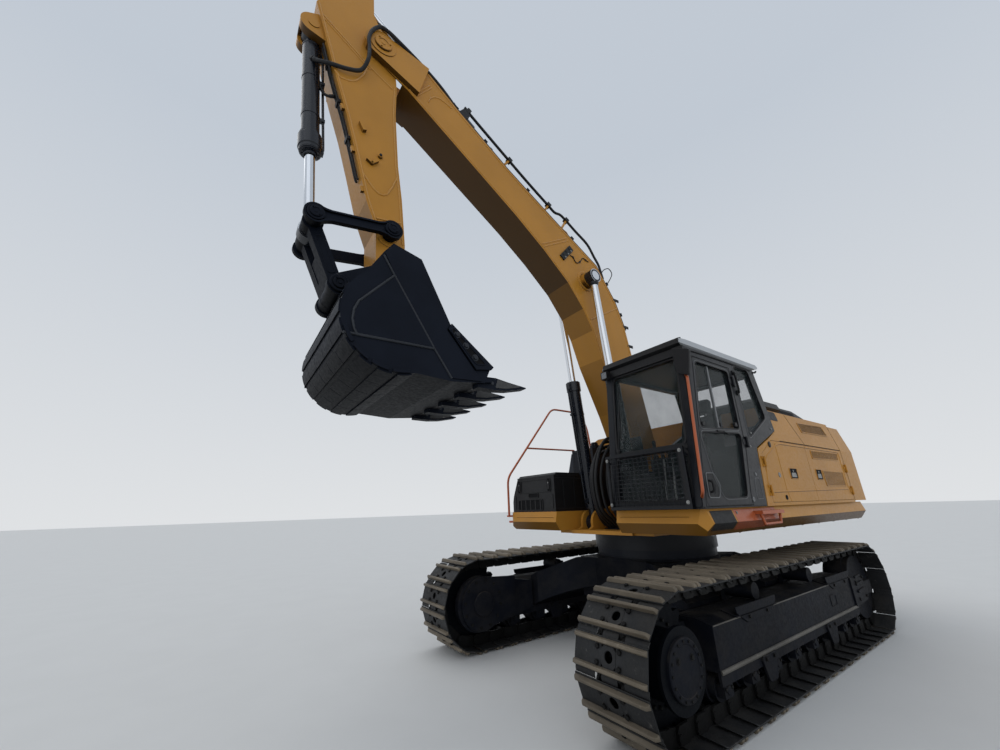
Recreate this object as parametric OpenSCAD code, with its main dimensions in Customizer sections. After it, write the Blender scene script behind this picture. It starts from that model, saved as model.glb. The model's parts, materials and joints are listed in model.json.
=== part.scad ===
// Crawler excavator of the 36 tonne class, parked with its bucket held up.
// +X points to the front, +Y to the cab side and +Z up. Millimetres.
// Sizes are written from the swing centre on the ground, and in_frame() moves
// the whole machine so that its origin is under the middle of its box.

/* [Tracks] */
// Distance between the sprocket and idler axles
tumbler_distance = 4030; // [3800:10:4300]
// Distance between the middles of the two tracks
track_gauge = 2590; // [2400:10:2740]
// Width of a track shoe
shoe_width = 600; // [500:10:700]
// Number of shoes round one track
shoe_count = 49; // [47:1:52]
// Length of one chain link along the track
shoe_pitch = 216; // [210:1:222]
// Thickness of the shoe plate
shoe_plate = 12; // [10:1:16]
// Height of the bars on a shoe
grouser_height = 30; // [20:1:36]
// Distance of each bar from the middle of its shoe
grouser_offset = 82; // [70:1:88]
// Width of a bar at its root
grouser_root = 34; // [26:1:40]
// Width of a bar at its tip
grouser_tip = 16; // [12:1:22]
// Half the height of a chain link
link_half_height = 56; // [50:1:62]
// Distance of a chain rail's middle from the middle of the track
rail_offset = 92; // [85:1:100]
// Width of a chain rail
rail_width = 36; // [30:1:42]

/* [Rolling gear] */
// Number of lower rollers on each side
roller_count = 8; // [6:1:9]
// Radius of a lower roller's tread
roller_radius = 88; // [80:1:95]
// Radius of an upper roller
carrier_radius = 70; // [60:1:80]
// Distance of each upper roller from the middle of the track
carrier_x = 620; // [500:10:800]
// Width of the rolling faces of rollers and idlers
tread_width = 62; // [55:1:68]
// Radius of the final drive's outer cover
drive_cover_radius = 250; // [220:5:270]
// Number of sprocket teeth
sprocket_teeth = 23; // [21:2:25]
// Thickness of the sprocket plate
sprocket_plate = 70; // [60:1:76]
// Running gap between parts that roll or turn on each other
running_gap = 0.3; // [0.2:0.1:0.5]

/* [Track frame] */
// Half width of the track frame box
frame_half_width = 195; // [180:5:210]
// Height of the track frame's bottom edge
frame_bottom_z = 280; // [270:5:300]
// Height of the track frame's shoulder
frame_shoulder_z = 660; // [640:5:680]
// Height of the track frame's ridge
frame_ridge_z = 690; // [670:5:690]
// Distance from each axle to the near end of the track frame box
frame_end_gap = 485; // [455:5:565]

/* [Centre frame] */
// Half length of the centre frame's middle box
centre_half_length = 720; // [680:10:760]
// Half width of the centre frame's middle box
centre_half_width = 620; // [560:10:660]
// Underside height of the centre frame
centre_bottom_z = 480; // [460:5:520]
// Top height of the centre frame
centre_top_z = 930; // [900:5:940]
// Front reach of a frame leg where it meets the track frame
leg_reach = 1180; // [1100:10:1250]
// Outer radius of the swing bearing
swing_radius = 730; // [680:10:760]

/* [Upper deck] */
// Front face of the deck
deck_front_x = 1230; // [1200:5:1260]
// Rear end of the side skirts
deck_rear_x = -3030; // [-3080:5:-2980]
// Half width of the machine over its side skirts
deck_half_width = 1465; // [1440:5:1500]
// Inner edge of the side decks
deck_inner_y = 470; // [465:1:500]
// Underside height of the deck
deck_bottom_z = 1262; // [1250:2:1275]
// Top height of the deck
deck_top_z = 1485; // [1475:1:1495]
// Thickness of the main frame's upright plates
web_plate = 35; // [25:1:45]
// Thickness of the main frame's floor plate
floor_plate = 40; // [30:5:50]

/* [Cab] */
// Outer left face of the cab
cab_left_y = 1460; // [1440:5:1480]
// Outer right face of the cab
cab_right_y = 475; // [470:1:500]
// Front of the cab at its foot
cab_front_x = 1290; // [1260:5:1310]
// Backward lean of the cab's front from foot to roof
cab_lean = 165; // [120:5:200]
// Height of the cab's top rail
cab_top_z = 3045; // [3000:5:3080]
// Thickness of the cab's walls and pillars
cab_wall = 50; // [40:1:60]
// Thickness of window glass
glass_thickness = 8; // [6:1:12]
// Thickness of the cab roof cap
roof_height = 95; // [80:5:120]

/* [Engine house] */
// Half width of the engine house
house_half_width = 1460; // [1440:5:1465]
// Height of the shoulder where the side starts to lean in
shoulder_z = 2200; // [2150:10:2250]
// Top height of the engine house
house_top_z = 2640; // [2600:10:2680]
// Front face of the engine house behind the boom
house_front_x = -620; // [-650:5:-610]
// Seam between the two left doors
door_seam_x = -1350; // [-1400:5:-1300]
// Seam between the engine house and the counterweight
weight_seam_x = -2690; // [-2720:5:-2660]
// Thickness of the engine house panels
panel_wall = 30; // [25:1:40]
// Shut gap round doors and lids
shut_gap = 8; // [6:1:10]
// Radius of the counterweight's back about the swing centre
tail_radius = 3500; // [3400:10:3600]

/* [Boom] */
// Boom foot pin, distance ahead of the swing centre
boom_foot_x = 50; // [30:5:80]
// Boom foot pin height
boom_foot_z = 1900; // [1880:5:1930]
// Half width of the boom
boom_half_width = 205; // [195:1:210]
// Boom tip pin, distance ahead of the swing centre
boom_tip_x = 4015; // [3990:5:4040]
// Boom tip pin height
boom_tip_z = 6553; // [6530:1:6580]
// Radius of the large pins
pin_radius = 55; // [45:1:60]
// Thickness of a plate that stands beside another at a pin
ear_plate = 70; // [60:5:75]
// Side gap between neighbouring plates at a pin
side_gap = 6; // [5:1:8]

/* [Stick] */
// Half width of the stick
stick_half_width = 190; // [180:1:192]
// Stick tip pin, distance ahead of the swing centre
stick_tip_x = 3720; // [3700:5:3740]
// Stick tip pin height
stick_tip_z = 3620; // [3600:5:3640]
// Radius of the boss at the stick's tip
stick_boss = 135; // [120:5:140]

/* [Cylinders] */
// Radius of a cylinder barrel
barrel_radius = 85; // [75:1:90]
// Radius of a piston rod
piston_radius = 48; // [40:1:52]
// Radius of a cylinder eye
eye_radius = 98; // [90:1:105]
// Half width of a cylinder eye
eye_half_width = 58; // [50:1:60]
// Distance of a boom cylinder from the machine's middle
boom_cylinder_y = 335; // [330:1:345]

/* [Bucket] */
// Half width of the bucket
bucket_half_width = 745; // [700:5:760]
// Thickness of the bucket's shell and side plates
bucket_plate = 28; // [22:1:32]
// Number of teeth
tooth_count = 5; // [4:1:6]
// Radius of the bucket's heel
heel_radius = 435; // [420:5:445]

/* [Hidden] */
$fn = 48;

paint = "#c98a1b";
dark = "#1b1d24";
worn = "#6b655c";
chrome = "#c8ccd0";
rail_orange = "#c9552a";
black = "#141417";
roof_grey = "#9a9da1";
clear_glass = "#9fb3bb";

// Middle of the whole machine's length, ahead of the swing centre
frame_x = 665;

pin_line_radius = (shoe_count * shoe_pitch - 2 * tumbler_distance) / (2 * PI);
axle_z = pin_line_radius + link_half_height + shoe_plate + grouser_height;
rail_radius = pin_line_radius - link_half_height;
track_y = track_gauge / 2;
axle_x = tumbler_distance / 2;
frame_reach = axle_x - frame_end_gap;

foot = [boom_foot_x, boom_foot_z];
tip = [boom_tip_x, boom_tip_z];
stick_tip = [stick_tip_x, stick_tip_z];
// Pins of the cylinders and the bucket linkage, in the X and Z plane
boom_cylinder_foot = [700, 1340];
boom_cylinder_eye = [980, 4510];
arm_cylinder_foot = [1250, 5270];
arm_cylinder_eye = [4300, 7500];
bucket_cylinder_foot = [4700, 6420];
link_pin = [4433, 3972];
idler_pin = [3764, 4088];
bucket_pin = [4170, 3390];

function arc(centre, r, from, to, steps) =
  [for (i = [0 : steps]) centre + r * [cos(from + (to - from) * i / steps), sin(from + (to - from) * i / steps)]];
function along(a, b, t) = a + (b - a) * t;
function unit(v) = v / norm(v);
function elevation(a, b) = atan2(b[1] - a[1], b[0] - a[0]);

module in_frame() {
  translate([-frame_x, 0, 0]) children();
}

// Extrudes a side view (X, Z) from y0 to y1
module side(y0, y1) {
  translate([0, y1, 0]) rotate([90, 0, 0]) linear_extrude(y1 - y0) children();
}

// Extrudes a front view (Y, Z) from x0 to x1
module front(x0, x1) {
  translate([x0, 0, 0]) rotate([90, 0, 90]) linear_extrude(x1 - x0) children();
}

// Box given by its low and high corners
module box(low, high) {
  translate(low) cube(high - low);
}

// Round bar across the machine at a side view point
module cross_bar(at, r, y0, y1) {
  side(y0, y1) translate(at) circle(r);
}

// Round bar between two points of the side view at one y
module strut(a, b, y, r) {
  translate([a[0], y, a[1]]) rotate([0, 90 - elevation(a, b), 0]) cylinder(h = norm(b - a), r = r);
}

// Round bar between two points in space
module bar(a, b, r) {
  d = b - a;
  translate(a) rotate([0, acos(d[2] / norm(d)), atan2(d[1], d[0])]) cylinder(h = norm(d), r = r, $fn = 20);
}

// Bar along a list of points with round corners
module rail(points, r) {
  for (i = [0 : len(points) - 2]) {
    bar(points[i], points[i + 1], r);
  }
  for (i = [1 : len(points) - 2]) {
    translate(points[i]) sphere(r + 0.6, $fn = 24);
  }
}

module mirrored_y() {
  children();
  mirror([0, 1, 0]) children();
}

// Side view shape of a link between two round ends
module link_shape(a, ra, b, rb) {
  d = norm(b - a);
  lean = asin((ra - rb) / d);
  e = elevation(a, b);
  translate(a) circle(ra);
  translate(b) circle(rb);
  polygon([
    a + ra * [cos(e + 90 - lean), sin(e + 90 - lean)],
    b + rb * [cos(e + 90 - lean), sin(e + 90 - lean)],
    b + rb * [cos(e - 90 + lean), sin(e - 90 + lean)],
    a + ra * [cos(e - 90 + lean), sin(e - 90 + lean)]
  ]);
}

// Hinges of doors and lids: the fixed knuckles carry the pin and the moving one turns on it

knuckle_radius = 12;
knuckle_length = 56;
hinge_pin_radius = 6;
hinge_leaf = 8;

module fixed_knuckles() {
  cylinder(h = 2 * knuckle_length - 4, r = hinge_pin_radius, center = true);
  for (s = [-1, 1]) {
    translate([0, 0, s * knuckle_length * 0.75]) {
      cylinder(h = knuckle_length / 2, r = knuckle_radius, center = true);
    }
  }
}

module moving_knuckle() difference() {
  cylinder(h = knuckle_length - 2 * running_gap, r = knuckle_radius, center = true);
  cylinder(h = knuckle_length, r = hinge_pin_radius + running_gap, center = true);
}

// Upright hinges on the outer faces of the cab and the engine house, on side s
module upright_fixed(x, s, heights, leaf_end) {
  low_y = s > 0 ? house_half_width : -house_half_width - hinge_leaf;
  for (z = heights) {
    translate([x, s * hinge_y, z]) fixed_knuckles();
    for (e = [-1, 1]) {
      middle = z + e * knuckle_length * 0.75;
      box([min(x, leaf_end), low_y, middle - knuckle_length / 4],
          [max(x, leaf_end), low_y + hinge_leaf, middle + knuckle_length / 4]);
    }
  }
}

module upright_moving(x, s, heights, edge, leaf_end) {
  low_y = s > 0 ? house_half_width : -house_half_width - hinge_leaf;
  half = knuckle_length / 2 - running_gap;
  for (z = heights) {
    translate([x, s * hinge_y, z]) moving_knuckle();
    box([min(x, edge), s > 0 ? low_y + 3 : low_y, z - half],
        [max(x, edge), s > 0 ? low_y + hinge_leaf : low_y + hinge_leaf - 3, z + half]);
    box([min(edge, leaf_end), low_y, z - half], [max(edge, leaf_end), low_y + hinge_leaf, z + half]);
  }
}

// Tracks

arc_length = PI * pin_line_radius;

// Centre X of the turn and angle of the outward normal, at a distance along the pin line
function track_station(s) =
  s < tumbler_distance ? [axle_x - s, 90]
  : s < tumbler_distance + arc_length ? [-axle_x, 90 + (s - tumbler_distance) / pin_line_radius * 180 / PI]
  : s < 2 * tumbler_distance + arc_length ? [s - arc_length - tumbler_distance - axle_x, 270]
  : [axle_x, 270 + (s - 2 * tumbler_distance - arc_length) / pin_line_radius * 180 / PI];

// Places a shoe point (along, outward) at the shoe's station
function on_track(station, p) =
  let (a = station[1])
  [station[0], axle_z] + (pin_line_radius + p[1]) * [cos(a), sin(a)] + p[0] * [-sin(a), cos(a)];

shoe_top = link_half_height + shoe_plate;
shoe_tip = shoe_top + grouser_height;
shoe_end = shoe_pitch / 2 - 5;
// Outer outline of one shoe (along, outward)
shoe_outline = [
  [-shoe_end, link_half_height + 4],
  [-shoe_end, shoe_top],
  for (side = [-1, 1]) each [
    [side * grouser_offset - grouser_root / 2, shoe_top],
    [side * grouser_offset - grouser_tip / 2, shoe_tip],
    [side * grouser_offset + grouser_tip / 2, shoe_tip],
    [side * grouser_offset + grouser_root / 2, shoe_top]
  ],
  [shoe_end, shoe_top],
  [shoe_end, link_half_height + 4]
];

module stadium(r) {
  translate([-axle_x, axle_z - r]) square([tumbler_distance, 2 * r]);
  translate([-axle_x, axle_z]) circle(r, $fn = 96);
  translate([axle_x, axle_z]) circle(r, $fn = 96);
}

module track(y) {
  stations = [for (i = [0 : shoe_count - 1]) track_station((i + 0.5) * shoe_pitch)];
  side(y - shoe_width / 2, y + shoe_width / 2) difference() {
    polygon([for (s = stations) for (p = shoe_outline) on_track(s, p)]);
    polygon([for (s = stations) for (e = [-1, 1]) on_track(s, [e * shoe_pitch / 2, link_half_height])]);
  }
  for (rail_side = [-1, 1]) {
    rail_y = y + rail_side * rail_offset;
    side(rail_y - rail_width / 2, rail_y + rail_width / 2) difference() {
      stadium(pin_line_radius + link_half_height + 2);
      stadium(rail_radius);
    }
  }
}

module track_left() in_frame() color(worn) track(track_y);

module track_right() in_frame() color(worn) track(-track_y);

// Track frames

frame_guard = 22;
frame_box_z = frame_bottom_z + 80;
frame_flat = 70;
frame_profile = [
  [-frame_half_width, frame_box_z],
  [-frame_half_width, frame_shoulder_z],
  [-frame_flat, frame_ridge_z],
  [frame_flat, frame_ridge_z],
  [frame_half_width, frame_shoulder_z],
  [frame_half_width, frame_box_z]
];
// Height of the frame's sloped top at a distance from its middle
function frame_top(y) =
  frame_ridge_z - (frame_ridge_z - frame_shoulder_z) * (y - frame_flat) / (frame_half_width - frame_flat);
rim_y = rail_offset + tread_width / 2;
idler_axle_y = rim_y + 14;
idler_arm_y = idler_axle_y + running_gap;
idler_arm_z = 70;
idler_arm_rear = 150;
idler_cover = 16;
mount_plate = 75;
mount_radius = 290;
motor_cover_depth = 30;
drive_hub_radius = 175;

// Box with guards below, arms that hold the idler, and the plate and cover of the drive motor
module track_frame_at(y) {
  inner_low = y > 0 ? -frame_half_width - mount_plate : frame_half_width;
  cover_low = y > 0 ? inner_low - motor_cover_depth : inner_low + mount_plate;
  translate([0, y, 0]) {
    front(-frame_reach, frame_reach) polygon(frame_profile);
    for (low_y = [-frame_half_width, frame_half_width - frame_guard]) {
      box([-frame_reach, low_y, frame_bottom_z], [frame_reach, low_y + frame_guard, frame_box_z + 10]);
    }
    cover_y = y > 0 ? frame_half_width - 1 : -frame_half_width - idler_cover + 1;
    side(cover_y, cover_y + idler_cover) polygon([
      [-axle_x + 130, axle_z - 110], [-axle_x + 130, axle_z + 85], [-axle_x + 170, axle_z + 130],
      [-frame_reach + 60, frame_shoulder_z], [-frame_reach + 60, axle_z - 140]
    ]);
    for (low_y = [-frame_half_width, idler_arm_y]) {
      box([-axle_x - idler_arm_rear, low_y, axle_z - idler_arm_z],
          [-frame_reach + 20, low_y + frame_half_width - idler_arm_y, axle_z + idler_arm_z]);
    }
    side(inner_low, inner_low + mount_plate) difference() {
      union() {
        translate([axle_x, axle_z]) circle(mount_radius);
        polygon([
          [frame_reach - 300, frame_box_z], [frame_reach - 300, frame_shoulder_z],
          [axle_x, axle_z + mount_radius - 4], [axle_x, axle_z - mount_radius + 4]
        ]);
      }
      translate([axle_x, axle_z]) circle(drive_hub_radius + running_gap);
    }
    side(cover_low, cover_low + motor_cover_depth) {
      translate([axle_x - 30, axle_z]) circle(mount_radius - 10);
      polygon([
        [axle_x - 30, axle_z + mount_radius - 14], [frame_reach - 10, 745], [frame_reach - 10, 350],
        [axle_x - 30, axle_z - mount_radius + 14]
      ]);
    }
  }
}

module track_frame_left() in_frame() color(dark) track_frame_at(track_y);

module track_frame_right() in_frame() color(dark) track_frame_at(-track_y);

// Final drive: hub in the frame's ring, toothed plate and round outer cover
module final_drive(s) {
  y = s * track_y;
  tooth_step = 360 / sprocket_teeth;
  inner_y = y - s * (frame_half_width + mount_plate);
  translate([axle_x, 0, axle_z]) {
    y_bar(inner_y, y - s * sprocket_plate / 2, drive_hub_radius);
    y_bar(y - s * sprocket_plate / 2, y + s * 205, 215);
    y_bar(y + s * 205, y + s * 232, drive_cover_radius);
    y_bar(y - s * 185, y - s * 150, 270);
  }
  side(y - sprocket_plate / 2, y + sprocket_plate / 2) translate([axle_x, axle_z]) {
    polygon([
      for (i = [0 : sprocket_teeth - 1])
        for (p = [[-0.42, -30], [-0.17, 18], [0.17, 18], [0.42, -30]])
          (pin_line_radius + p[1]) * [cos((i + p[0]) * tooth_step), sin((i + p[0]) * tooth_step)]
    ]);
  }
}

// Round bar along Y between two values in either order
module y_bar(ya, yb, r) {
  translate([0, max(ya, yb), 0]) rotate([90, 0, 0]) cylinder(h = abs(yb - ya), r = r);
}

module final_drives() in_frame() color(dark) {
  final_drive(1);
  final_drive(-1);
}

// Idler wheel with two treads on the chain rails and a centre flange between them
module idler(y) {
  translate([-axle_x, y, axle_z]) {
    y_bar(-rim_y, rim_y, rail_radius - running_gap);
    y_bar(-rail_offset + rail_width / 2 + 6, rail_offset - rail_width / 2 - 6, rail_radius + 26);
    y_bar(-idler_axle_y, idler_axle_y, 90);
  }
}

module idlers() in_frame() color(dark) {
  idler(track_y);
  idler(-track_y);
}

// Lower roller with a flange between the rails, on end blocks under the frame's guards
module roller(x, y) {
  roller_z = axle_z - rail_radius + roller_radius + running_gap;
  flange_y = rail_offset - rail_width / 2 - 6;
  translate([x, y, roller_z]) {
    y_bar(-rim_y, rim_y, roller_radius);
    y_bar(-flange_y, flange_y, roller_radius + 20);
    y_bar(-rim_y - 10, rim_y + 10, 40);
  }
  for (s = [-1, 1]) {
    block_y = y + s * (rim_y + 33);
    box([x - 60, block_y - 29, roller_z - 45], [x + 60, block_y + 29, frame_bottom_z]);
  }
}

// Upper roller on a bracket that stands on the frame's sloped top
module carrier(x, y) {
  roller_z = axle_z + rail_radius - carrier_radius - running_gap;
  inner = y > 0 ? -1 : 1;
  near = rim_y + 4;
  far = rim_y + 44;
  translate([x, y, roller_z]) {
    y_bar(-rim_y, rim_y, carrier_radius);
    y_bar(0, inner * far, 34);
  }
  front(x - 55, x + 55) polygon([
    for (p = [[near, frame_top(near)], [far, frame_top(far)], [far, roller_z + 45], [near, roller_z + 45]])
      [y + inner * p[0], p[1]]
  ]);
}

roller_span = tumbler_distance - 1150;

module rollers() in_frame() color(dark) {
  for (y = [-track_y, track_y]) {
    for (i = [0 : roller_count - 1]) {
      roller(-roller_span / 2 + i * roller_span / (roller_count - 1), y);
    }
    for (x = [-carrier_x, carrier_x]) {
      carrier(x, y);
    }
  }
}

// Centre frame

leg_inner_y = track_y - frame_half_width;
tow_hole_radius = 32;
tow_hole_x = centre_half_length + 75;
tow_hole_z = 600;

module x_frame() in_frame() color(dark) {
  box([-centre_half_length, -centre_half_width, centre_bottom_z],
      [centre_half_length, centre_half_width, centre_top_z]);
  intersection() {
    front(-leg_reach, leg_reach) polygon(concat(
      [[-leg_inner_y, 700], [-centre_half_width + 60, centre_top_z], [centre_half_width - 60, centre_top_z],
       [leg_inner_y, 700], [leg_inner_y, 350]],
      arc([0, -1450], 2100, 62, 118, 12),
      [[-leg_inner_y, 350]]
    ));
    linear_extrude(1000) for (sx = [-1, 1]) for (sy = [-1, 1]) {
      polygon([
        [sx * 120, sy * 300], [sx * 300, sy * leg_inner_y], [sx * leg_reach, sy * leg_inner_y],
        [sx * leg_reach, sy * (leg_inner_y - 130)], [sx * centre_half_length, sy * 380],
        [sx * centre_half_length, sy * 300]
      ]);
    }
  }
  translate([0, 0, centre_top_z - 20]) cylinder(h = 40, r = swing_radius);
  for (s = [-1, 1]) {
    translate([0, 0, tow_hole_z - 30]) linear_extrude(60) difference() {
      union() {
        translate([s * tow_hole_x, 0]) circle(75);
        polygon([
          [s * (centre_half_length - 5), -90], [s * (centre_half_length - 5), 90], [s * tow_hole_x, 72],
          [s * tow_hole_x, -72]
        ]);
      }
      translate([s * tow_hole_x, 0]) circle(tow_hole_radius);
    }
  }
}

ring_height = 90;
ring_top_z = centre_top_z + 20 + ring_height;

module swing_ring() in_frame() color(dark) difference() {
  translate([0, 0, centre_top_z + 20]) cylinder(h = ring_height, r = swing_radius - 20);
  translate([0, 0, centre_top_z]) cylinder(h = ring_height + 40, r = swing_radius - 150);
}

// Main frame of the upper structure

web_y = boom_half_width + side_gap + 20;
floor_top_z = deck_bottom_z;
deck_floor_z = floor_top_z - floor_plate;
foot_slot = eye_radius + 22;
web_outline = concat(
  [[weight_seam_x, floor_top_z - 5], [weight_seam_x, 1430], [house_front_x + 10, 1480], [-260, 1700]],
  arc(foot, 185, 160, -20, 10),
  [[380, 1560], [560, 1500]],
  arc(boom_cylinder_foot, 150, 90, 0, 6),
  [[845, 1300], [890, floor_top_z + 12], [960, floor_top_z + 2], [960, floor_top_z - 5]]
);
ear_outline = concat(
  [[440, floor_top_z - 5], [490, 1330]],
  arc(boom_cylinder_foot, 150, 150, 0, 8),
  [[845, 1300], [890, floor_top_z + 12], [960, floor_top_z + 2], [960, floor_top_z - 5]]
);
outer_ear_y = boom_cylinder_y + eye_half_width + side_gap + 4;

module main_frame() in_frame() color(paint) {
  translate([0, 0, ring_top_z + running_gap]) cylinder(h = deck_floor_z + 5 - ring_top_z, r = swing_radius);
  difference() {
    union() {
      box([weight_seam_x - 150, -700, deck_floor_z], [960, 700, floor_top_z]);
      box([900, -deck_inner_y + 10, deck_floor_z], [1000, deck_inner_y - 10, floor_top_z]);
    }
    mirrored_y() box([boom_cylinder_foot[0] - foot_slot, web_y + web_plate, deck_floor_z - 100],
                     [boom_cylinder_foot[0] + foot_slot, outer_ear_y, floor_top_z + 10]);
  }
  cross_bar(foot, pin_radius - running_gap, -web_y - web_plate - 12, web_y + web_plate + 12);
  mirrored_y() {
    side(web_y, web_y + web_plate) polygon(web_outline);
    side(outer_ear_y, outer_ear_y + web_plate) polygon(ear_outline);
    cross_bar(boom_cylinder_foot, pin_radius - running_gap, web_y + 5, outer_ear_y + web_plate + 12);
  }
}

// Side decks with a creased skirt

skirt_crease_z = 1362;
// Half width of the counterweight's lower part, between the ends of the side skirts
weight_low_y = 1180;
deck_profile = [
  [deck_inner_y, deck_bottom_z],
  [deck_half_width - 85, deck_bottom_z],
  [deck_half_width, skirt_crease_z],
  [deck_half_width - 40, deck_top_z],
  [deck_inner_y, deck_top_z]
];
deck_plan = [
  [deck_front_x + 15, deck_inner_y],
  [deck_front_x + 15, deck_half_width - 110],
  [deck_front_x - 60, deck_half_width + 5],
  [deck_rear_x + 40, deck_half_width + 5],
  [deck_rear_x, deck_half_width - 60],
  [deck_rear_x, weight_low_y + 5],
  [weight_seam_x + 5, weight_low_y + 5],
  [weight_seam_x + 5, deck_inner_y]
];
deck_side_view = [
  [deck_rear_x - 10, deck_bottom_z - 1],
  [deck_front_x - 50, deck_bottom_z - 1],
  [deck_front_x + 15, skirt_crease_z],
  [deck_front_x - 10, deck_top_z + 1],
  [deck_rear_x - 10, deck_top_z + 1]
];

module side_deck() {
  intersection() {
    front(deck_rear_x - 20, deck_front_x + 20) polygon(deck_profile);
    linear_extrude(2000) polygon(deck_plan);
    side(deck_inner_y - 10, deck_half_width + 20) polygon(deck_side_view);
  }
}

module deck_left() in_frame() color(paint) side_deck();

module deck_right() in_frame() color(paint) mirror([0, 1, 0]) side_deck();

step_bar_radius = 13;

// Step with a hanging bar on the left skirt and a small step at the right front corner
module side_steps() in_frame() color(rail_orange) difference() {
  union() {
    box([-120, deck_half_width - 60, 1415], [365, deck_half_width + 60, 1447]);
    rail([
      [345, deck_half_width + 30, 1420], [315, deck_half_width + 38, 1325], [-40, deck_half_width + 38, 1325],
      [-85, deck_half_width + 30, 1420]
    ], step_bar_radius);
    box([1060, -deck_half_width - 32, 1345], [1215, -deck_half_width + 90, 1372]);
  }
  side_deck();
  mirror([0, 1, 0]) side_deck();
}

// Cab

cab_foot_z = deck_top_z;
cab_rear_top = [-371, cab_top_z];
cab_elbow = [-573, 2316];
cab_vertex = [0, 2088];
cab_rear_foot = [81, cab_foot_z];
cab_front_foot = [cab_front_x, cab_foot_z];
cab_front_top = [cab_front_x - cab_lean, cab_top_z];
cab_outline = [cab_front_foot, cab_front_top, cab_rear_top, cab_elbow, cab_vertex, cab_rear_foot];
// X of the cab's front face at a height
function cab_front_at(z) = cab_front_x - cab_lean * (z - cab_foot_z) / (cab_top_z - cab_foot_z);

door_outline = [
  [cab_front_at(1500) - 55, 1505], [cab_front_at(2955) - 160, 2955], [235, 2955], [255, 2073], [375, 1600],
  [375, 1505]
];
door_opening = [
  [cab_front_at(1500) - 47, 1497], [cab_front_at(2963) - 152, 2963], [227, 2963], [247, 2072], [367, 1598],
  [367, 1497]
];
rear_side_window = [[112, 3005], [-215, 3005], [-395, 2455], [112, 2192]];

cab_hinge_x = 225;
cab_hinge_heights = [2130, 2800];
// Outer distance of the upright hinge lines from the machine's middle
hinge_y = house_half_width + 15;

// X of the cab's rear face at a height
function cab_rear_at(z) =
  cab_elbow[0] + (cab_rear_top[0] - cab_elbow[0]) * (z - cab_elbow[1]) / (cab_rear_top[1] - cab_elbow[1]);

module cab_block() side(cab_right_y, cab_left_y) polygon(cab_outline);

module cab_frame() in_frame() color(dark) {
  cab_shell();
  upright_fixed(cab_hinge_x, 1, cab_hinge_heights, cab_hinge_x - 45);
}

module cab_shell() difference() {
  cab_block();
  side(cab_right_y + cab_wall, cab_left_y - cab_wall) polygon([
    cab_front_foot + [-cab_wall, cab_wall], cab_front_top + [-cab_wall, -cab_wall],
    cab_rear_top + [cab_wall - 10, -cab_wall], cab_elbow + [cab_wall + 10, 15],
    cab_vertex + [15, cab_wall], cab_rear_foot + [cab_wall, cab_wall]
  ]);
  side(cab_left_y - cab_wall - 5, cab_left_y + 5) polygon(door_opening);
  side(cab_left_y - cab_wall - 5, cab_left_y + 5) polygon(rear_side_window);
  side(cab_right_y - 5, cab_right_y + cab_wall + 5) polygon([
    [1040, 2960], [-280, 2960], [-400, 2453], [120, 2204], [150, 1900], [1130, 1900]
  ]);
  box([1000, 585, 2070], [1400, 1370, 2925]);
  box([1000, 585, 1570], [1400, 1370, 2010]);
  box([-800, 585, 2400], [0, 1360, 2960]);
}

module cab_roof() in_frame() color(roof_grey) intersection() {
  side(cab_right_y - 5, cab_left_y + 8) polygon([
    [1140, cab_top_z], [1175, cab_top_z + 22], [1165, cab_top_z + 72], [1060, cab_top_z + roof_height - 12],
    [300, cab_top_z + roof_height + 25], [-380, cab_top_z + roof_height + 25], [-485, cab_top_z + roof_height],
    [-530, cab_top_z + 62], [-520, cab_top_z + 38], [-390, cab_top_z + 8], [-375, cab_top_z]
  ]);
  front(-600, 1300) polygon([
    [cab_right_y + 10, cab_top_z], [cab_right_y - 5, cab_top_z + 20], [cab_right_y + 5, cab_top_z + 85],
    [cab_right_y + 90, cab_top_z + roof_height + 30], [cab_left_y - 90, cab_top_z + roof_height + 30],
    [cab_left_y, cab_top_z + 85], [cab_left_y + 8, cab_top_z + 20], [cab_left_y - 10, cab_top_z]
  ]);
}

// Fixed panes, each set in the middle of its wall
module cab_glass() in_frame() color(clear_glass) {
  pane_inset = cab_wall / 2 - glass_thickness / 2;
  for (z = [[1570, 2010], [2070, 2925]]) {
    side(585, 1370) polygon([
      [cab_front_at(z[0]) - pane_inset - glass_thickness, z[0]], [cab_front_at(z[0]) - pane_inset, z[0]],
      [cab_front_at(z[1]) - pane_inset, z[1]], [cab_front_at(z[1]) - pane_inset - glass_thickness, z[1]]
    ]);
  }
  side(585, 1360) polygon([
    [cab_rear_at(2400) + pane_inset, 2400], [cab_rear_at(2400) + pane_inset + glass_thickness, 2400],
    [cab_rear_at(2960) + pane_inset + glass_thickness, 2960], [cab_rear_at(2960) + pane_inset, 2960]
  ]);
  side(cab_left_y - pane_inset - glass_thickness, cab_left_y - pane_inset) polygon(rear_side_window);
  side(cab_right_y + pane_inset, cab_right_y + pane_inset + glass_thickness) polygon([
    [1040, 2960], [-280, 2960], [-400, 2453], [120, 2204], [150, 1900], [1130, 1900]
  ]);
}

guard_low_z = 1500;
guard_high_z = 2022;

guard_x = cab_front_x + 25;
guard_right_y = 500;
guard_left_y = 1375;
guard_uprights = 16;
guard_rows = 13;

guard_bar = 12;

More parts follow.
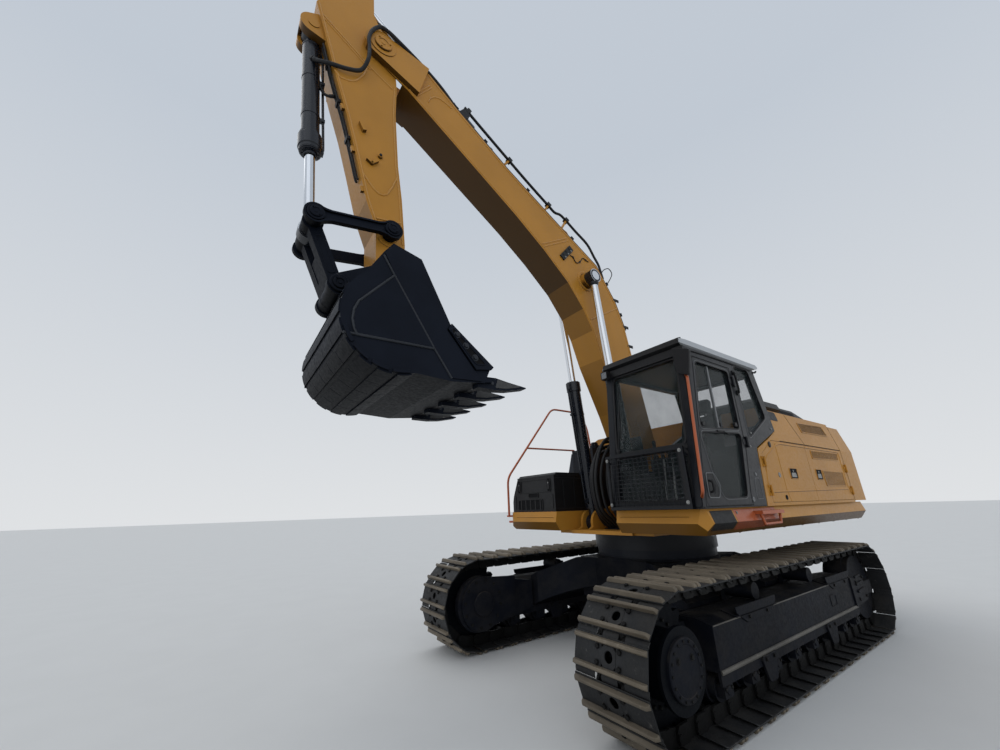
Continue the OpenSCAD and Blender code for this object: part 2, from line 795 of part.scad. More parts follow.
// Frame of square bars with a grid of thin bars, on four stays from the cab's front
module front_guard() in_frame() color(black) difference() {
  union() {
    for (z = [guard_low_z, guard_high_z]) {
      box([guard_x - guard_bar, guard_right_y, z - guard_bar], [guard_x + guard_bar, guard_left_y, z + guard_bar]);
    }
    for (y = [guard_right_y, guard_left_y]) {
      box([guard_x - guard_bar, y - guard_bar, guard_low_z - guard_bar],
          [guard_x + guard_bar, y + guard_bar, guard_high_z + guard_bar]);
      for (z = [guard_low_z + 60, guard_high_z - 60]) {
        box([cab_front_x - 100, y - 8, z - 8], [guard_x, y + 8, z + 8]);
      }
    }
    for (i = [1 : guard_uprights - 1]) {
      y = guard_right_y + i * (guard_left_y - guard_right_y) / guard_uprights;
      box([guard_x - 4, y - 3, guard_low_z], [guard_x + 4, y + 3, guard_high_z]);
    }
    for (i = [1 : guard_rows - 1]) {
      z = guard_low_z + i * (guard_high_z - guard_low_z) / guard_rows;
      box([guard_x - 3, guard_right_y, z - 3], [guard_x + 3, guard_left_y, z + 3]);
    }
  }
  cab_block();
}

cab_floor_z = cab_foot_z + cab_wall;

module seat_and_consoles() in_frame() color(black) {
  box([150, 730, cab_floor_z], [480, 1170, 1835]);
  side(710, 1190) polygon([
    [120, 1800], [680, 1830], [690, 1950], [260, 1930], [110, 2560], [-20, 2560], [60, 1930]
  ]);
  side(840, 1060) polygon([[-25, 2550], [85, 2550], [60, 2760], [-40, 2760]]);
  for (y = [600, 1200]) {
    side(y, y + 100) polygon([[250, cab_floor_z], [600, cab_floor_z], [700, 2050], [200, 2050]]);
  }
  side(640, 760) polygon([
    [900, cab_floor_z], [1100, cab_floor_z], [1100, 2000], [1050, 2250], [1010, 2250], [960, 1950]
  ]);
}

module cab_door() in_frame() color(dark) {
  door_leaf();
  upright_moving(cab_hinge_x, 1, cab_hinge_heights, 260, 300);
}

module door_leaf() difference() {
  side(cab_left_y - cab_wall, cab_left_y) polygon(door_outline);
  side(cab_left_y - cab_wall - 5, cab_left_y + 5) polygon([[944, 2905], [290, 2905], [310, 2263], [1075, 2219]]);
  side(cab_left_y - cab_wall - 5, cab_left_y + 5) polygon([
    [1090, 2165], [310, 2210], [455, 1581], [885, 1579], [1006, 1783]
  ]);
}

module cab_door_glass() in_frame() color(clear_glass) {
  low = cab_left_y - cab_wall / 2 - glass_thickness / 2;
  side(low, low + glass_thickness) polygon([[944, 2905], [290, 2905], [310, 2263], [1075, 2219]]);
  side(low, low + glass_thickness) polygon([
    [1090, 2165], [310, 2210], [455, 1581], [885, 1579], [1006, 1783]
  ]);
}

rail_r = 18;
right_rail_y = -deck_half_width + 45;
rail_top_z = 3115;

module handrails() in_frame() color(rail_orange) difference() {
  union() {
    rail([
      [deck_front_x + 36, right_rail_y, 1440],
      [deck_front_x + 40, right_rail_y, 1960], [302, right_rail_y, rail_top_z], [-380, right_rail_y, rail_top_z],
      [-520, right_rail_y, 2840], [-575, right_rail_y, right_cover_z + 2.4]
    ], rail_r);
    rail([
      [880, right_rail_y, 2422], [-150, right_rail_y, 2440], [-150, right_rail_y, right_cover_z]
    ], rail_r - 3);
    box([deck_front_x - 60, right_rail_y - 22, 1425], [deck_front_x + 60, right_rail_y + 22, 1447]);
    rail([
      [cab_front_at(1575) - 20, cab_left_y - 15, 1575], [cab_front_at(1620) + 40, cab_left_y + 35, 1620],
      [cab_front_at(2690) + 40, cab_left_y + 35, 2690], [cab_front_at(2735) - 20, cab_left_y - 15, 2735]
    ], rail_r);
  }
  cab_block();
  mirror([0, 1, 0]) side_deck();
}

module mirror_and_lamps() in_frame() color(black) difference() {
  union() {
    bar([cab_front_at(2980) - 20, cab_left_y - 30, 2980], [cab_front_at(2980) + 70, cab_left_y - 10, 2960], 12);
    box([cab_front_at(2980) + 60, cab_left_y - 60, 2760], [cab_front_at(2980) + 90, cab_left_y + 50, 3010]);
    bar([cab_front_at(2980) - 20, cab_right_y + 40, 2980], [cab_front_at(2980) + 40, cab_right_y + 40, 2980], 12);
    box([cab_front_at(2980) + 35, cab_right_y + 5, 2935], [cab_front_at(2980) + 95, cab_right_y + 95, 3025]);
  }
  cab_block();
}

// Engine house

house_profile = [
  [-house_half_width, deck_top_z], [-house_half_width, shoulder_z], [-house_half_width + 80, house_top_z - 40],
  [-house_half_width + 180, house_top_z], [house_half_width - 180, house_top_z],
  [house_half_width - 80, house_top_z - 40], [house_half_width, shoulder_z], [house_half_width, deck_top_z]
];
house_cavity = [
  [-house_half_width + panel_wall, deck_top_z + panel_wall], [-house_half_width + panel_wall, shoulder_z - 5],
  [-house_half_width + 80 + panel_wall, house_top_z - 50], [-house_half_width + 190, house_top_z - panel_wall],
  [house_half_width - 190, house_top_z - panel_wall], [house_half_width - 80 - panel_wall, house_top_z - 50],
  [house_half_width - panel_wall, shoulder_z - 5], [house_half_width - panel_wall, deck_top_z + panel_wall]
];
// Clear gap of the engine house behind the cab, and its corners that follow the cab's back
house_gap = [-18, 0];
house_vertex = cab_vertex + [-16, -13];
house_elbow = cab_elbow + [-22, -11];
left_side_view = [
  [weight_seam_x + 5, deck_top_z], cab_rear_foot + house_gap, house_vertex, house_elbow,
  [house_front_x, house_elbow[1]], [house_front_x, house_top_z + 5], [weight_seam_x + 5, house_top_z + 5]
];
hood_front_x = -1385;
hood_rear_x = -2430;
hood_half_y = 1240;
hood_rise = 145;
front_door_x = -90;
door_low_z = deck_top_z + 35;
door_high_z = shoulder_z - 10;
front_door_view = [
  [door_seam_x + shut_gap, door_low_z], [front_door_x, door_low_z], [front_door_x, cab_vertex[1] - 60],
  [-400, door_high_z], [door_seam_x + shut_gap, door_high_z]
];
rear_door_view = [
  [weight_seam_x + 40, door_low_z], [door_seam_x - shut_gap, door_low_z],
  [door_seam_x - shut_gap, door_high_z], [weight_seam_x + 40, door_high_z]
];
right_door_view = [
  [weight_seam_x + 40, door_low_z], [-1100, door_low_z], [-1100, door_high_z],
  [weight_seam_x + 40, door_high_z]
];
rear_hinge_x = weight_seam_x + 32;
front_hinge_x = front_door_x + 8;
door_hinge_heights = [1640, 1940];
// Hinge line of the engine hood, along Y
hood_hinge = [hood_front_x + 17, house_top_z + 25];
hood_hinge_y = [-700, 420];

module grown(view) {
  low = [min([for (p = view) p[0]]), min([for (p = view) p[1]])];
  high = [max([for (p = view) p[0]]), max([for (p = view) p[1]])];
  size = high - low;
  translate(low - [shut_gap, shut_gap] / 2)
    scale([(size[0] + shut_gap) / size[0], (size[1] + shut_gap) / size[1]])
      translate(-low) polygon(view);
}

module engine_house() in_frame() color(paint) {
  house_shell();
  upright_fixed(front_hinge_x, 1, door_hinge_heights, front_hinge_x + 40);
  upright_fixed(rear_hinge_x, 1, door_hinge_heights, rear_hinge_x - 28);
  upright_fixed(rear_hinge_x, -1, door_hinge_heights, rear_hinge_x - 28);
  for (y = hood_hinge_y) {
    translate([hood_hinge[0], y, hood_hinge[1]]) rotate([90, 0, 0]) fixed_knuckles();
    for (e = [-1, 1]) {
      middle = y + e * knuckle_length * 0.75;
      box([hood_hinge[0] - 9, middle - knuckle_length / 4, house_top_z - 10],
          [hood_hinge[0] + 9, middle + knuckle_length / 4, hood_hinge[1]]);
    }
  }
}

module house_shell() difference() {
  intersection() {
    front(weight_seam_x, 100) polygon(house_profile);
    union() {
      side(deck_inner_y, house_half_width + 10) polygon(left_side_view);
      box([weight_seam_x + 5, -house_half_width - 10, deck_top_z], [house_front_x, deck_inner_y + 5, house_top_z + 5]);
    }
  }
  intersection() {
    front(weight_seam_x + 45, 100) polygon(house_cavity);
    union() {
      side(deck_inner_y + panel_wall, house_half_width + 10) polygon([
        [weight_seam_x + 35, deck_top_z], [cab_rear_foot[0] - 50, deck_top_z],
        house_vertex + [-30, -18], house_elbow + [-10, -34], [house_front_x - panel_wall, house_elbow[1] - 34],
        [house_front_x - panel_wall, house_top_z], [weight_seam_x + 35, house_top_z]
      ]);
      box([weight_seam_x + 35, -house_half_width - 10, deck_top_z],
          [house_front_x - panel_wall, deck_inner_y + panel_wall + 5, house_top_z]);
    }
  }
  side(house_half_width - panel_wall - 5, house_half_width + 10) grown(front_door_view);
  side(house_half_width - panel_wall - 5, house_half_width + 10) grown(rear_door_view);
  side(-house_half_width - 10, -house_half_width + panel_wall + 5) grown(right_door_view);
  box([hood_rear_x + 30, -hood_half_y + 30, house_top_z - panel_wall - 5],
      [hood_front_x - 30, hood_half_y - 30, house_top_z + 10]);
}

// Flat lid over the engine's opening with a raised middle, hinged at its front edge
module engine_hood() in_frame() color(black) {
  plate_top = house_top_z + 20;
  box([hood_rear_x, -hood_half_y, house_top_z + running_gap], [hood_front_x, hood_half_y, plate_top]);
  intersection() {
    front(hood_rear_x + 5, hood_front_x - 30) polygon([
      [-hood_half_y + 5, plate_top - 5], [-hood_half_y + 60, house_top_z + hood_rise],
      [hood_half_y - 60, house_top_z + hood_rise], [hood_half_y - 5, plate_top - 5]
    ]);
    side(-hood_half_y, hood_half_y) polygon([
      [hood_rear_x + 10, plate_top - 10], [hood_front_x - 40, plate_top - 10],
      [hood_front_x - 50, house_top_z + hood_rise - 12], [hood_front_x - 120, house_top_z + hood_rise + 5],
      [hood_rear_x + 330, house_top_z + hood_rise + 5], [hood_rear_x + 10, plate_top + 10]
    ]);
  }
  for (y = hood_hinge_y) {
    translate([hood_hinge[0], y, hood_hinge[1]]) rotate([90, 0, 0]) moving_knuckle();
    box([hood_front_x - 10, y - knuckle_length / 2 + running_gap, hood_hinge[1] - 11],
        [hood_hinge[0], y + knuckle_length / 2 - running_gap, hood_hinge[1] - hinge_pin_radius - 1]);
  }
}

// Air intake box on the front left of the engine house
module air_intake() in_frame() color(black) intersection() {
  front(hood_front_x + 75, house_front_x - 90) polygon([
    [600, house_top_z], [600, house_top_z + 150], [1240, house_top_z + 150], [1300, house_top_z + 120],
    [1325, house_top_z + 40], [1270, house_top_z]
  ]);
  side(590, 1340) polygon([
    [hood_front_x + 70, house_top_z - 10], [hood_front_x + 95, house_top_z + 155],
    [house_front_x - 150, house_top_z + 155], [house_front_x - 95, house_top_z + 110],
    [house_front_x - 85, house_top_z - 10]
  ]);
}

module side_door_front() in_frame() color(paint) {
  side(house_half_width - panel_wall, house_half_width) polygon(front_door_view);
  upright_moving(front_hinge_x, 1, door_hinge_heights, front_door_x - 4, front_door_x - 50);
}

module side_door_rear() in_frame() color(paint) {
  side(house_half_width - panel_wall, house_half_width) polygon(rear_door_view);
  upright_moving(rear_hinge_x, 1, door_hinge_heights, weight_seam_x + 44, weight_seam_x + 90);
}

module side_door_right() in_frame() color(paint) {
  side(-house_half_width, -house_half_width + panel_wall) polygon(right_door_view);
  upright_moving(rear_hinge_x, -1, door_hinge_heights, weight_seam_x + 44, weight_seam_x + 90);
}

module engine() in_frame() color(dark)
  box([-2300, -480, deck_top_z + panel_wall], [-1150, 620, 2380]);

lift_hole_radius = 30;
lift_hole = [-3020, house_top_z + 45];

// Counterweight with a round back, a cut under edge and two lifting eyes
module counterweight() in_frame() color(paint) {
  intersection() {
    front(-tail_radius, weight_seam_x) polygon([
      [-house_half_width, deck_top_z + 20], [-house_half_width, shoulder_z], [-house_half_width + 100, house_top_z - 60],
      [-house_half_width + 200, house_top_z - 10], [house_half_width - 200, house_top_z - 10],
      [house_half_width - 100, house_top_z - 60], [house_half_width, shoulder_z], [house_half_width, deck_top_z + 20],
      [weight_low_y, deck_top_z + 20], [weight_low_y, floor_top_z], [-weight_low_y, floor_top_z],
      [-weight_low_y, deck_top_z + 20]
    ]);
    side(-house_half_width, house_half_width) polygon([
      [weight_seam_x, floor_top_z], [weight_seam_x, house_top_z - 10], [-3150, house_top_z - 10], [-3430, 2420],
      [-3500, 2150], [-3490, 1700], [-3330, 1320], [-3200, floor_top_z]
    ]);
    linear_extrude(3000) intersection() {
      circle(tail_radius, $fn = 180);
      translate([-4000, -house_half_width]) square([4000 + weight_seam_x, 2 * house_half_width]);
    }
  }
  for (y = [-700, 700]) {
    side(y - 20, y + 20) difference() {
      union() {
        translate(lift_hole) circle(65);
        translate(lift_hole + [-62, -75]) square([124, 75]);
      }
      translate(lift_hole) circle(lift_hole_radius);
    }
  }
}

// Right side: tank, tool box and its lid

tank_front_x = 420;
tank_top_z = 2330;
tank_right_y = -910;
tank_cap = [300, -560];
right_cover_z = 2380;
box_front_x = 1175;

module right_covers() side(-house_half_width + 15, tank_right_y + 5) polygon([
  [house_front_x + 10, deck_top_z], [tank_front_x - 330, deck_top_z], [tank_front_x - 330, 1800],
  [-100, right_cover_z], [house_front_x + 10, right_cover_z]
]);

// Hydraulic tank beside the boom and the pump cover to its right
module hydraulic_tank() in_frame() color(black) {
  box([house_front_x + 10, tank_right_y, deck_top_z], [tank_front_x, -deck_inner_y - 30, tank_top_z]);
  right_covers();
  translate([tank_cap[0], tank_cap[1], tank_top_z - 1]) cylinder(h = 45, r = 70);
  translate([tank_cap[0], tank_cap[1], tank_top_z + 40]) cylinder(h = 35, r = 45);
}

toolbox_low = [tank_front_x + 20, -1310, deck_top_z];
toolbox_high = [box_front_x, -530, 1925];
// Half width at the tool box's foot, where its outer side stands furthest out
toolbox_foot_y = -1432;
toolbox_wall = 40;
lid_top_z = toolbox_high[2] + 48;
// Hinge line of the lid, along Y
lid_hinge = [toolbox_low[0] - 5, lid_top_z + 5];
lid_hinge_y = [-1180, -680];

module toolbox() in_frame() color(black) {
  difference() {
    front(toolbox_low[0], toolbox_high[0]) polygon([
      [toolbox_foot_y, toolbox_low[2]], [toolbox_high[1], toolbox_low[2]], [toolbox_high[1], toolbox_high[2]],
      [toolbox_low[1], toolbox_high[2]], [toolbox_foot_y + 20, toolbox_high[2] - 220],
      [toolbox_foot_y, toolbox_high[2] - 300]
    ]);
    front(toolbox_low[0] + toolbox_wall, toolbox_high[0] - toolbox_wall) polygon([
      [toolbox_foot_y + toolbox_wall, toolbox_low[2] + toolbox_wall],
      [toolbox_high[1] - toolbox_wall, toolbox_low[2] + toolbox_wall],
      [toolbox_high[1] - toolbox_wall, toolbox_high[2] + 10], [toolbox_low[1] + toolbox_wall, toolbox_high[2] + 10],
      [toolbox_low[1] + toolbox_wall, toolbox_high[2] - 10],
      [toolbox_foot_y + 20 + toolbox_wall, toolbox_high[2] - 220],
      [toolbox_foot_y + toolbox_wall, toolbox_high[2] - 300]
    ]);
  }
  for (y = lid_hinge_y) {
    translate([lid_hinge[0], y, lid_hinge[1]]) rotate([90, 0, 0]) fixed_knuckles();
    for (e = [-1, 1]) {
      middle = y + e * knuckle_length * 0.75;
      box([lid_hinge[0] - 8, middle - knuckle_length / 4, toolbox_high[2] - 60],
          [toolbox_low[0] + 1, middle + knuckle_length / 4, lid_hinge[1]]);
    }
  }
}

module toolbox_lid() in_frame() color(black) {
  side(toolbox_low[1], toolbox_high[1]) polygon([
    [toolbox_low[0] + 10, toolbox_high[2] + running_gap], [toolbox_high[0], toolbox_high[2] + running_gap],
    [toolbox_high[0] - 50, lid_top_z], [toolbox_low[0] + 10, lid_top_z]
  ]);
  for (y = lid_hinge_y) {
    translate([lid_hinge[0], y, lid_hinge[1]]) rotate([90, 0, 0]) moving_knuckle();
    box([lid_hinge[0], y - knuckle_length / 2 + running_gap, lid_hinge[1] - 11],
        [toolbox_low[0] + 30, y + knuckle_length / 2 - running_gap, lid_hinge[1] - hinge_pin_radius - 1]);
  }
}

// Boom: one bent box from the foot pin to the fork that holds the stick

tip_slot = stick_half_width + side_gap;
// Upper edge of the boom from its foot to its tip
boom_top = [
  [185, 3593], [255, 3993], [385, 4353], [705, 4863], [1635, 5413], [2255, 5793], [2995, 6313], [3435, 6653]
];
boom_outline = concat(
  arc(foot, 175, 165, 335, 10),
  [[424, 2393], [540, 2707], [835, 3383], [955, 3763], [1095, 4053], [1335, 4383], [1725, 4743]],
  [[2165, 5093], [3675, 6163]],
  arc(tip, 190, -40, 110, 8),
  [for (i = [len(boom_top) - 1 : -1 : 0]) boom_top[i]]
);
fork_outline = concat(arc(tip, 200, -50, 120, 10), [[3450, 6640], [3560, 6150]]);
lug_low_y = eye_half_width + side_gap;
lug_high_y = lug_low_y + 36;

module boom() in_frame() color(paint) {
  difference() {
    union() {
      side(-boom_half_width, boom_half_width) polygon(boom_outline);
      side(-tip_slot - ear_plate, tip_slot + ear_plate) polygon(fork_outline);
      cross_bar(foot, 150, -web_y + side_gap, web_y - side_gap);
      cross_bar(boom_cylinder_eye, 110, -boom_cylinder_y + eye_half_width + side_gap,
                boom_cylinder_y - eye_half_width - side_gap);
      mirrored_y() side(lug_low_y, lug_high_y) polygon([
        along(boom_top[3], boom_top[4], 0.2), along(boom_top[3], boom_top[4], 1),
        arm_cylinder_foot + [140, 60], arm_cylinder_foot + [40, 130], arm_cylinder_foot + [-110, 80]
      ]);
    }
    side(-tip_slot, tip_slot) {
      translate(tip) circle(440);
      translate(tip) rotate(120) square([900, 900]);
    }
    cross_bar(foot, pin_radius, -400, 400);
    cross_bar(arm_cylinder_foot, eye_radius + side_gap, -lug_low_y, lug_low_y);
  }
  cross_bar(arm_cylinder_foot, pin_radius - running_gap, -lug_high_y - 8, lug_high_y + 8);
  cross_bar(tip, pin_radius - running_gap, -tip_slot - ear_plate - 10, tip_slot + ear_plate + 10);
}

// Left hand normal of the line from a to b
function left_of(a, b) = let (u = unit(b - a)) [-u[1], u[0]];
pipe_radius = 16;
pipe_lift = 40;
// Route of the pipes above the boom's upper edge
pipe_route = [
  for (i = [1 : len(boom_top) - 2])
    boom_top[i] + pipe_lift * unit(left_of(boom_top[i - 1], boom_top[i]) + left_of(boom_top[i], boom_top[i + 1]))
];

module boom_pipes() in_frame() color(black) {
  for (y = [-170, -130, 130, 170]) {
    rail([for (p = pipe_route) [p[0], y, p[1]]], pipe_radius);
  }
  for (i = [0 : len(pipe_route) - 2]) {
    for (s = [-1, 1]) {
      middle = along(pipe_route[i], pipe_route[i + 1], 0.5);
      base = along(boom_top[i + 1], boom_top[i + 2], 0.5);
      translate([middle[0], s * 150, middle[1]]) rotate([0, -elevation(pipe_route[i], pipe_route[i + 1]), 0])
        box([-25, -45, running_gap - (middle - base) * left_of(pipe_route[i], pipe_route[i + 1])], [25, 45, pipe_radius + 8]);
    }
  }
}

// Hydraulic cylinders

// Barrel from its eye along a direction, with a neck that passes between the plates at its eye
module barrel(a, b, y, length, neck) {
  u = unit(b - a);
  end = a + u * length;
  difference() {
    union() {
      cross_bar(a, eye_radius, y - eye_half_width, y + eye_half_width);
      strut(a, end, y, eye_half_width - 2);
      strut(a + u * neck, end, y, barrel_radius);
      strut(end - u * 120, end, y, barrel_radius + 14);
    }
    strut(a + u * (eye_radius + 60), end + u * 10, y, piston_radius + running_gap);
    cross_bar(a, pin_radius, y - eye_half_width - 5, y + eye_half_width + 5);
  }
}

// Rod with its eye, started inside the barrel
module rod(a, b, y, start) {
  u = unit(b - a);
  strut(a + u * start, b - u * 60, y, piston_radius);
  cross_bar(b, eye_radius, y - eye_half_width, y + eye_half_width);
}

boom_barrel_length = 1850;
arm_barrel_length = 1950;
bucket_barrel_length = 1560;
// Distance of each rod's inner end from its barrel's eye
boom_rod_start = 1500;
arm_rod_start = 1700;
bucket_rod_start = 760;

module boom_cylinder_barrels() in_frame() color(black) {
  for (y = [-boom_cylinder_y, boom_cylinder_y]) {
    barrel(boom_cylinder_foot, boom_cylinder_eye, y, boom_barrel_length, 168);
  }
}

module boom_cylinder_rods() in_frame() color(chrome) {
  for (y = [-boom_cylinder_y, boom_cylinder_y]) {
    rod(boom_cylinder_foot, boom_cylinder_eye, y, boom_rod_start);
  }
}

module arm_cylinder_barrel() in_frame() color(black)
  barrel(arm_cylinder_foot, arm_cylinder_eye, 0, arm_barrel_length, 240);

module arm_cylinder_rod() in_frame() color(chrome) rod(arm_cylinder_foot, arm_cylinder_eye, 0, arm_rod_start);

module bucket_cylinder_barrel() in_frame() color(black)
  barrel(bucket_cylinder_foot, link_pin, 0, bucket_barrel_length, 168);

module bucket_cylinder_rod() in_frame() color(chrome) rod(bucket_cylinder_foot, link_pin, 0, bucket_rod_start);

// Stick: tapered box with the tail fork, the tip boss and the ears of the bucket cylinder

tail_slot = eye_half_width + side_gap;
stick_outline = concat(
  arc(stick_tip, stick_boss, 190, 350, 8),
  [
    [3893, 4131], [4008, 4420], [4149, 4919], [4275, 5349], [4413, 5752], [4564, 6238], [4716, 6705]
  ],
  arc(arm_cylinder_eye, 140, 25, 195, 8),
  [[4130, 7060]],
  arc(tip, 165, 120, 190, 5),
  [[3800, 6100], [3789, 5699], [3721, 5006], [3656, 4586], [3596, 4050]]
);
cylinder_ear_y = 150;

module stick() in_frame() color(paint) {
  difference() {
    union() {
      side(-stick_half_width, stick_half_width) polygon(stick_outline);
      side(-cylinder_ear_y, cylinder_ear_y) link_shape(bucket_cylinder_foot, 130, [4540, 6450], 190);
    }
    side(-tail_slot, tail_slot) {
      translate(arm_cylinder_eye) circle(150);
      translate(arm_cylinder_eye) rotate(256) translate([-160, -170]) square([700, 340]);
      translate(bucket_cylinder_foot) circle(115);
      translate(bucket_cylinder_foot + [-86, -240]) square([300, 240]);
    }
    cross_bar(tip, pin_radius, -300, 300);
    cross_bar(stick_tip, pin_radius, -300, 300);
    cross_bar(idler_pin, pin_radius - 5, -300, 300);
  }
  cross_bar(bucket_cylinder_foot, pin_radius - running_gap, -cylinder_ear_y - 8, cylinder_ear_y + 8);
}

// Bucket linkage

idler_plate_y = 272;
link_pin_radius = pin_radius - 5;
link_arm_y = 76;
link_half_y = 190;

module idler_links() in_frame() color(dark) {
  mirrored_y() {
    side(idler_plate_y, idler_plate_y + 48) link_shape(idler_pin, 95, link_pin, 95);
    for (p = [idler_pin, link_pin]) {
      cross_bar(p, 70, stick_half_width + side_gap, idler_plate_y + 1);
    }
  }
  cross_bar(idler_pin, link_pin_radius - running_gap, -idler_plate_y - 1, idler_plate_y + 1);
}

// Two arms from the bucket to the bucket cylinder, joined by a web near the bucket
module bucket_link() in_frame() color(dark) {
  across = 58 * left_of(bucket_pin, link_pin);
  mirrored_y() side(link_arm_y, link_half_y) {
    translate(link_pin) circle(88);
    translate(bucket_pin) circle(88);
    polygon([bucket_pin - across, link_pin - across, link_pin + across, bucket_pin + across]);
  }
  side(-link_arm_y - 1, link_arm_y + 1) {
    translate(bucket_pin) circle(86);
    polygon([
      bucket_pin - across, along(bucket_pin, link_pin, 0.25) - across, along(bucket_pin, link_pin, 0.25) + across,
      bucket_pin + across
    ]);
  }
  cross_bar(bucket_pin, link_pin_radius - running_gap, -bucket_ear_y - 58, bucket_ear_y + 58);
}

// Bucket

heel = [3800, 2935];
lip_z = 2530;
side_cutter = 26;
bucket_ear_y = link_half_y + side_gap;
bucket_outline = concat(
  [[2960, lip_z + 30], [3330, lip_z - 20]],
  arc(heel, heel_radius, -110, 50, 16),
  [[3957, 3494]]
);
bucket_inner = concat(
  [[3945 - 60, 3490]],
  arc(heel, heel_radius - bucket_plate, 50, -110, 16),
  [[3330, lip_z + bucket_plate - 20], [2960, lip_z + 60]]
);
side_plate = concat(
  [[3030, lip_z + 15], [3330, lip_z - 20]],
  arc(heel, heel_radius, -110, 50, 16),
  [[3957, 3494], [3885, 3600], [3640, 3540], [3354, 2990], [2970, 2690]]
);

module bucket() in_frame() color(dark) {
  cross_bar(stick_tip, pin_radius - running_gap, -bucket_ear_y - 70, bucket_ear_y + 70);
  bucket_shell();
}

module bucket_shell() difference() {
  union() {
    side(-bucket_half_width, bucket_half_width) polygon(concat(bucket_outline, bucket_inner));
    mirrored_y() {
      side(bucket_half_width - bucket_plate, bucket_half_width) polygon(side_plate);
      side(bucket_half_width - 2, bucket_half_width + side_cutter) polygon([
        [3362, 3003], [3392, 2950], [3130, 2640], [2975, 2665], [2955, 2690]
      ]);
      side(bucket_ear_y, bucket_ear_y + 60) {
        link_shape(stick_tip, 140, bucket_pin, 100);
        polygon([stick_tip + [-60, -110], bucket_pin, [4150, 3200], [3900, 3200]]);
      }
    }
    tooth_step = (2 * bucket_half_width - 154) / (tooth_count - 1);
    for (i = [0 : tooth_count - 1]) {
      y = -bucket_half_width + 77 + i * tooth_step;
      side(y - 45, y + 45) polygon([
        [3080, lip_z - 20], [3080, lip_z + 80], [2900, lip_z + 90], [2760, lip_z + 70], [2566, lip_z + 50],
        [2566, lip_z + 40], [2760, lip_z - 5], [2900, lip_z - 20]
      ]);
    }
  }
  cross_bar(bucket_pin, link_pin_radius, -300, 300);
}

x_frame();
track_frame_left();
track_frame_right();
track_left();
track_right();
final_drives();
idlers();
rollers();
swing_ring();
main_frame();
deck_left();
deck_right();
cab_frame();
cab_roof();
cab_glass();
front_guard();
seat_and_consoles();
handrails();
mirror_and_lamps();
engine_house();
engine();
counterweight();
hydraulic_tank();
air_intake();
side_steps();
toolbox();
toolbox_lid();
cab_door();
cab_door_glass();
engine_hood();
side_door_front();
side_door_rear();
side_door_right();
boom();
boom_pipes();
boom_cylinder_barrels();
boom_cylinder_rods();
arm_cylinder_barrel();
arm_cylinder_rod();
stick();
bucket_cylinder_barrel();
bucket_cylinder_rod();
idler_links();
bucket_link();
bucket();
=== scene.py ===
import json
import math

import bmesh
import bpy
from mathutils import Matrix, Vector


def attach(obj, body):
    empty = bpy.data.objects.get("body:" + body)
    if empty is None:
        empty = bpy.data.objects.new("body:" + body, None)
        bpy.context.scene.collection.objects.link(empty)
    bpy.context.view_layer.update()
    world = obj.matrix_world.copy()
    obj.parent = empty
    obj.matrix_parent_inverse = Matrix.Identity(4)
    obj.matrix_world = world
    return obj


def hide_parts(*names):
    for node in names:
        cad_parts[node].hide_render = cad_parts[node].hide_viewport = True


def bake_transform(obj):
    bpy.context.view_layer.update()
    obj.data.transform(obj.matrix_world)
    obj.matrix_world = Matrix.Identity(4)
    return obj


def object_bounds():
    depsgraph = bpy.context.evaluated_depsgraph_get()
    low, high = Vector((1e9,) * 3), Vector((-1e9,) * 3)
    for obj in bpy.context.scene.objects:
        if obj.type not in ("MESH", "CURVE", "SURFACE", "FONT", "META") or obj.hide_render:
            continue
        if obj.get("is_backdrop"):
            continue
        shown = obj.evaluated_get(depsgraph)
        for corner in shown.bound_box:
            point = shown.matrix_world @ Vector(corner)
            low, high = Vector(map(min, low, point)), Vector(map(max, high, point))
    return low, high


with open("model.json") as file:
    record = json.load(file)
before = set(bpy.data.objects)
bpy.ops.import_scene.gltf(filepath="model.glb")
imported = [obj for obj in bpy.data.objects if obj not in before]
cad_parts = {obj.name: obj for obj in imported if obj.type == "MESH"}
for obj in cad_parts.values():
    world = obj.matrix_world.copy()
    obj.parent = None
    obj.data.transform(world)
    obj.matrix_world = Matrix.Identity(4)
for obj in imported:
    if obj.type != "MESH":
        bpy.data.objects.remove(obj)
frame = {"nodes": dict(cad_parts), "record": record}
size = {"cad": [list(p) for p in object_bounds()]}

# All points below are in metres from the swing centre on the ground, and FX moves them to the shared frame
FX = 0.665


def P(x, y, z):
    return Vector((x - FX, y, z))


# Materials

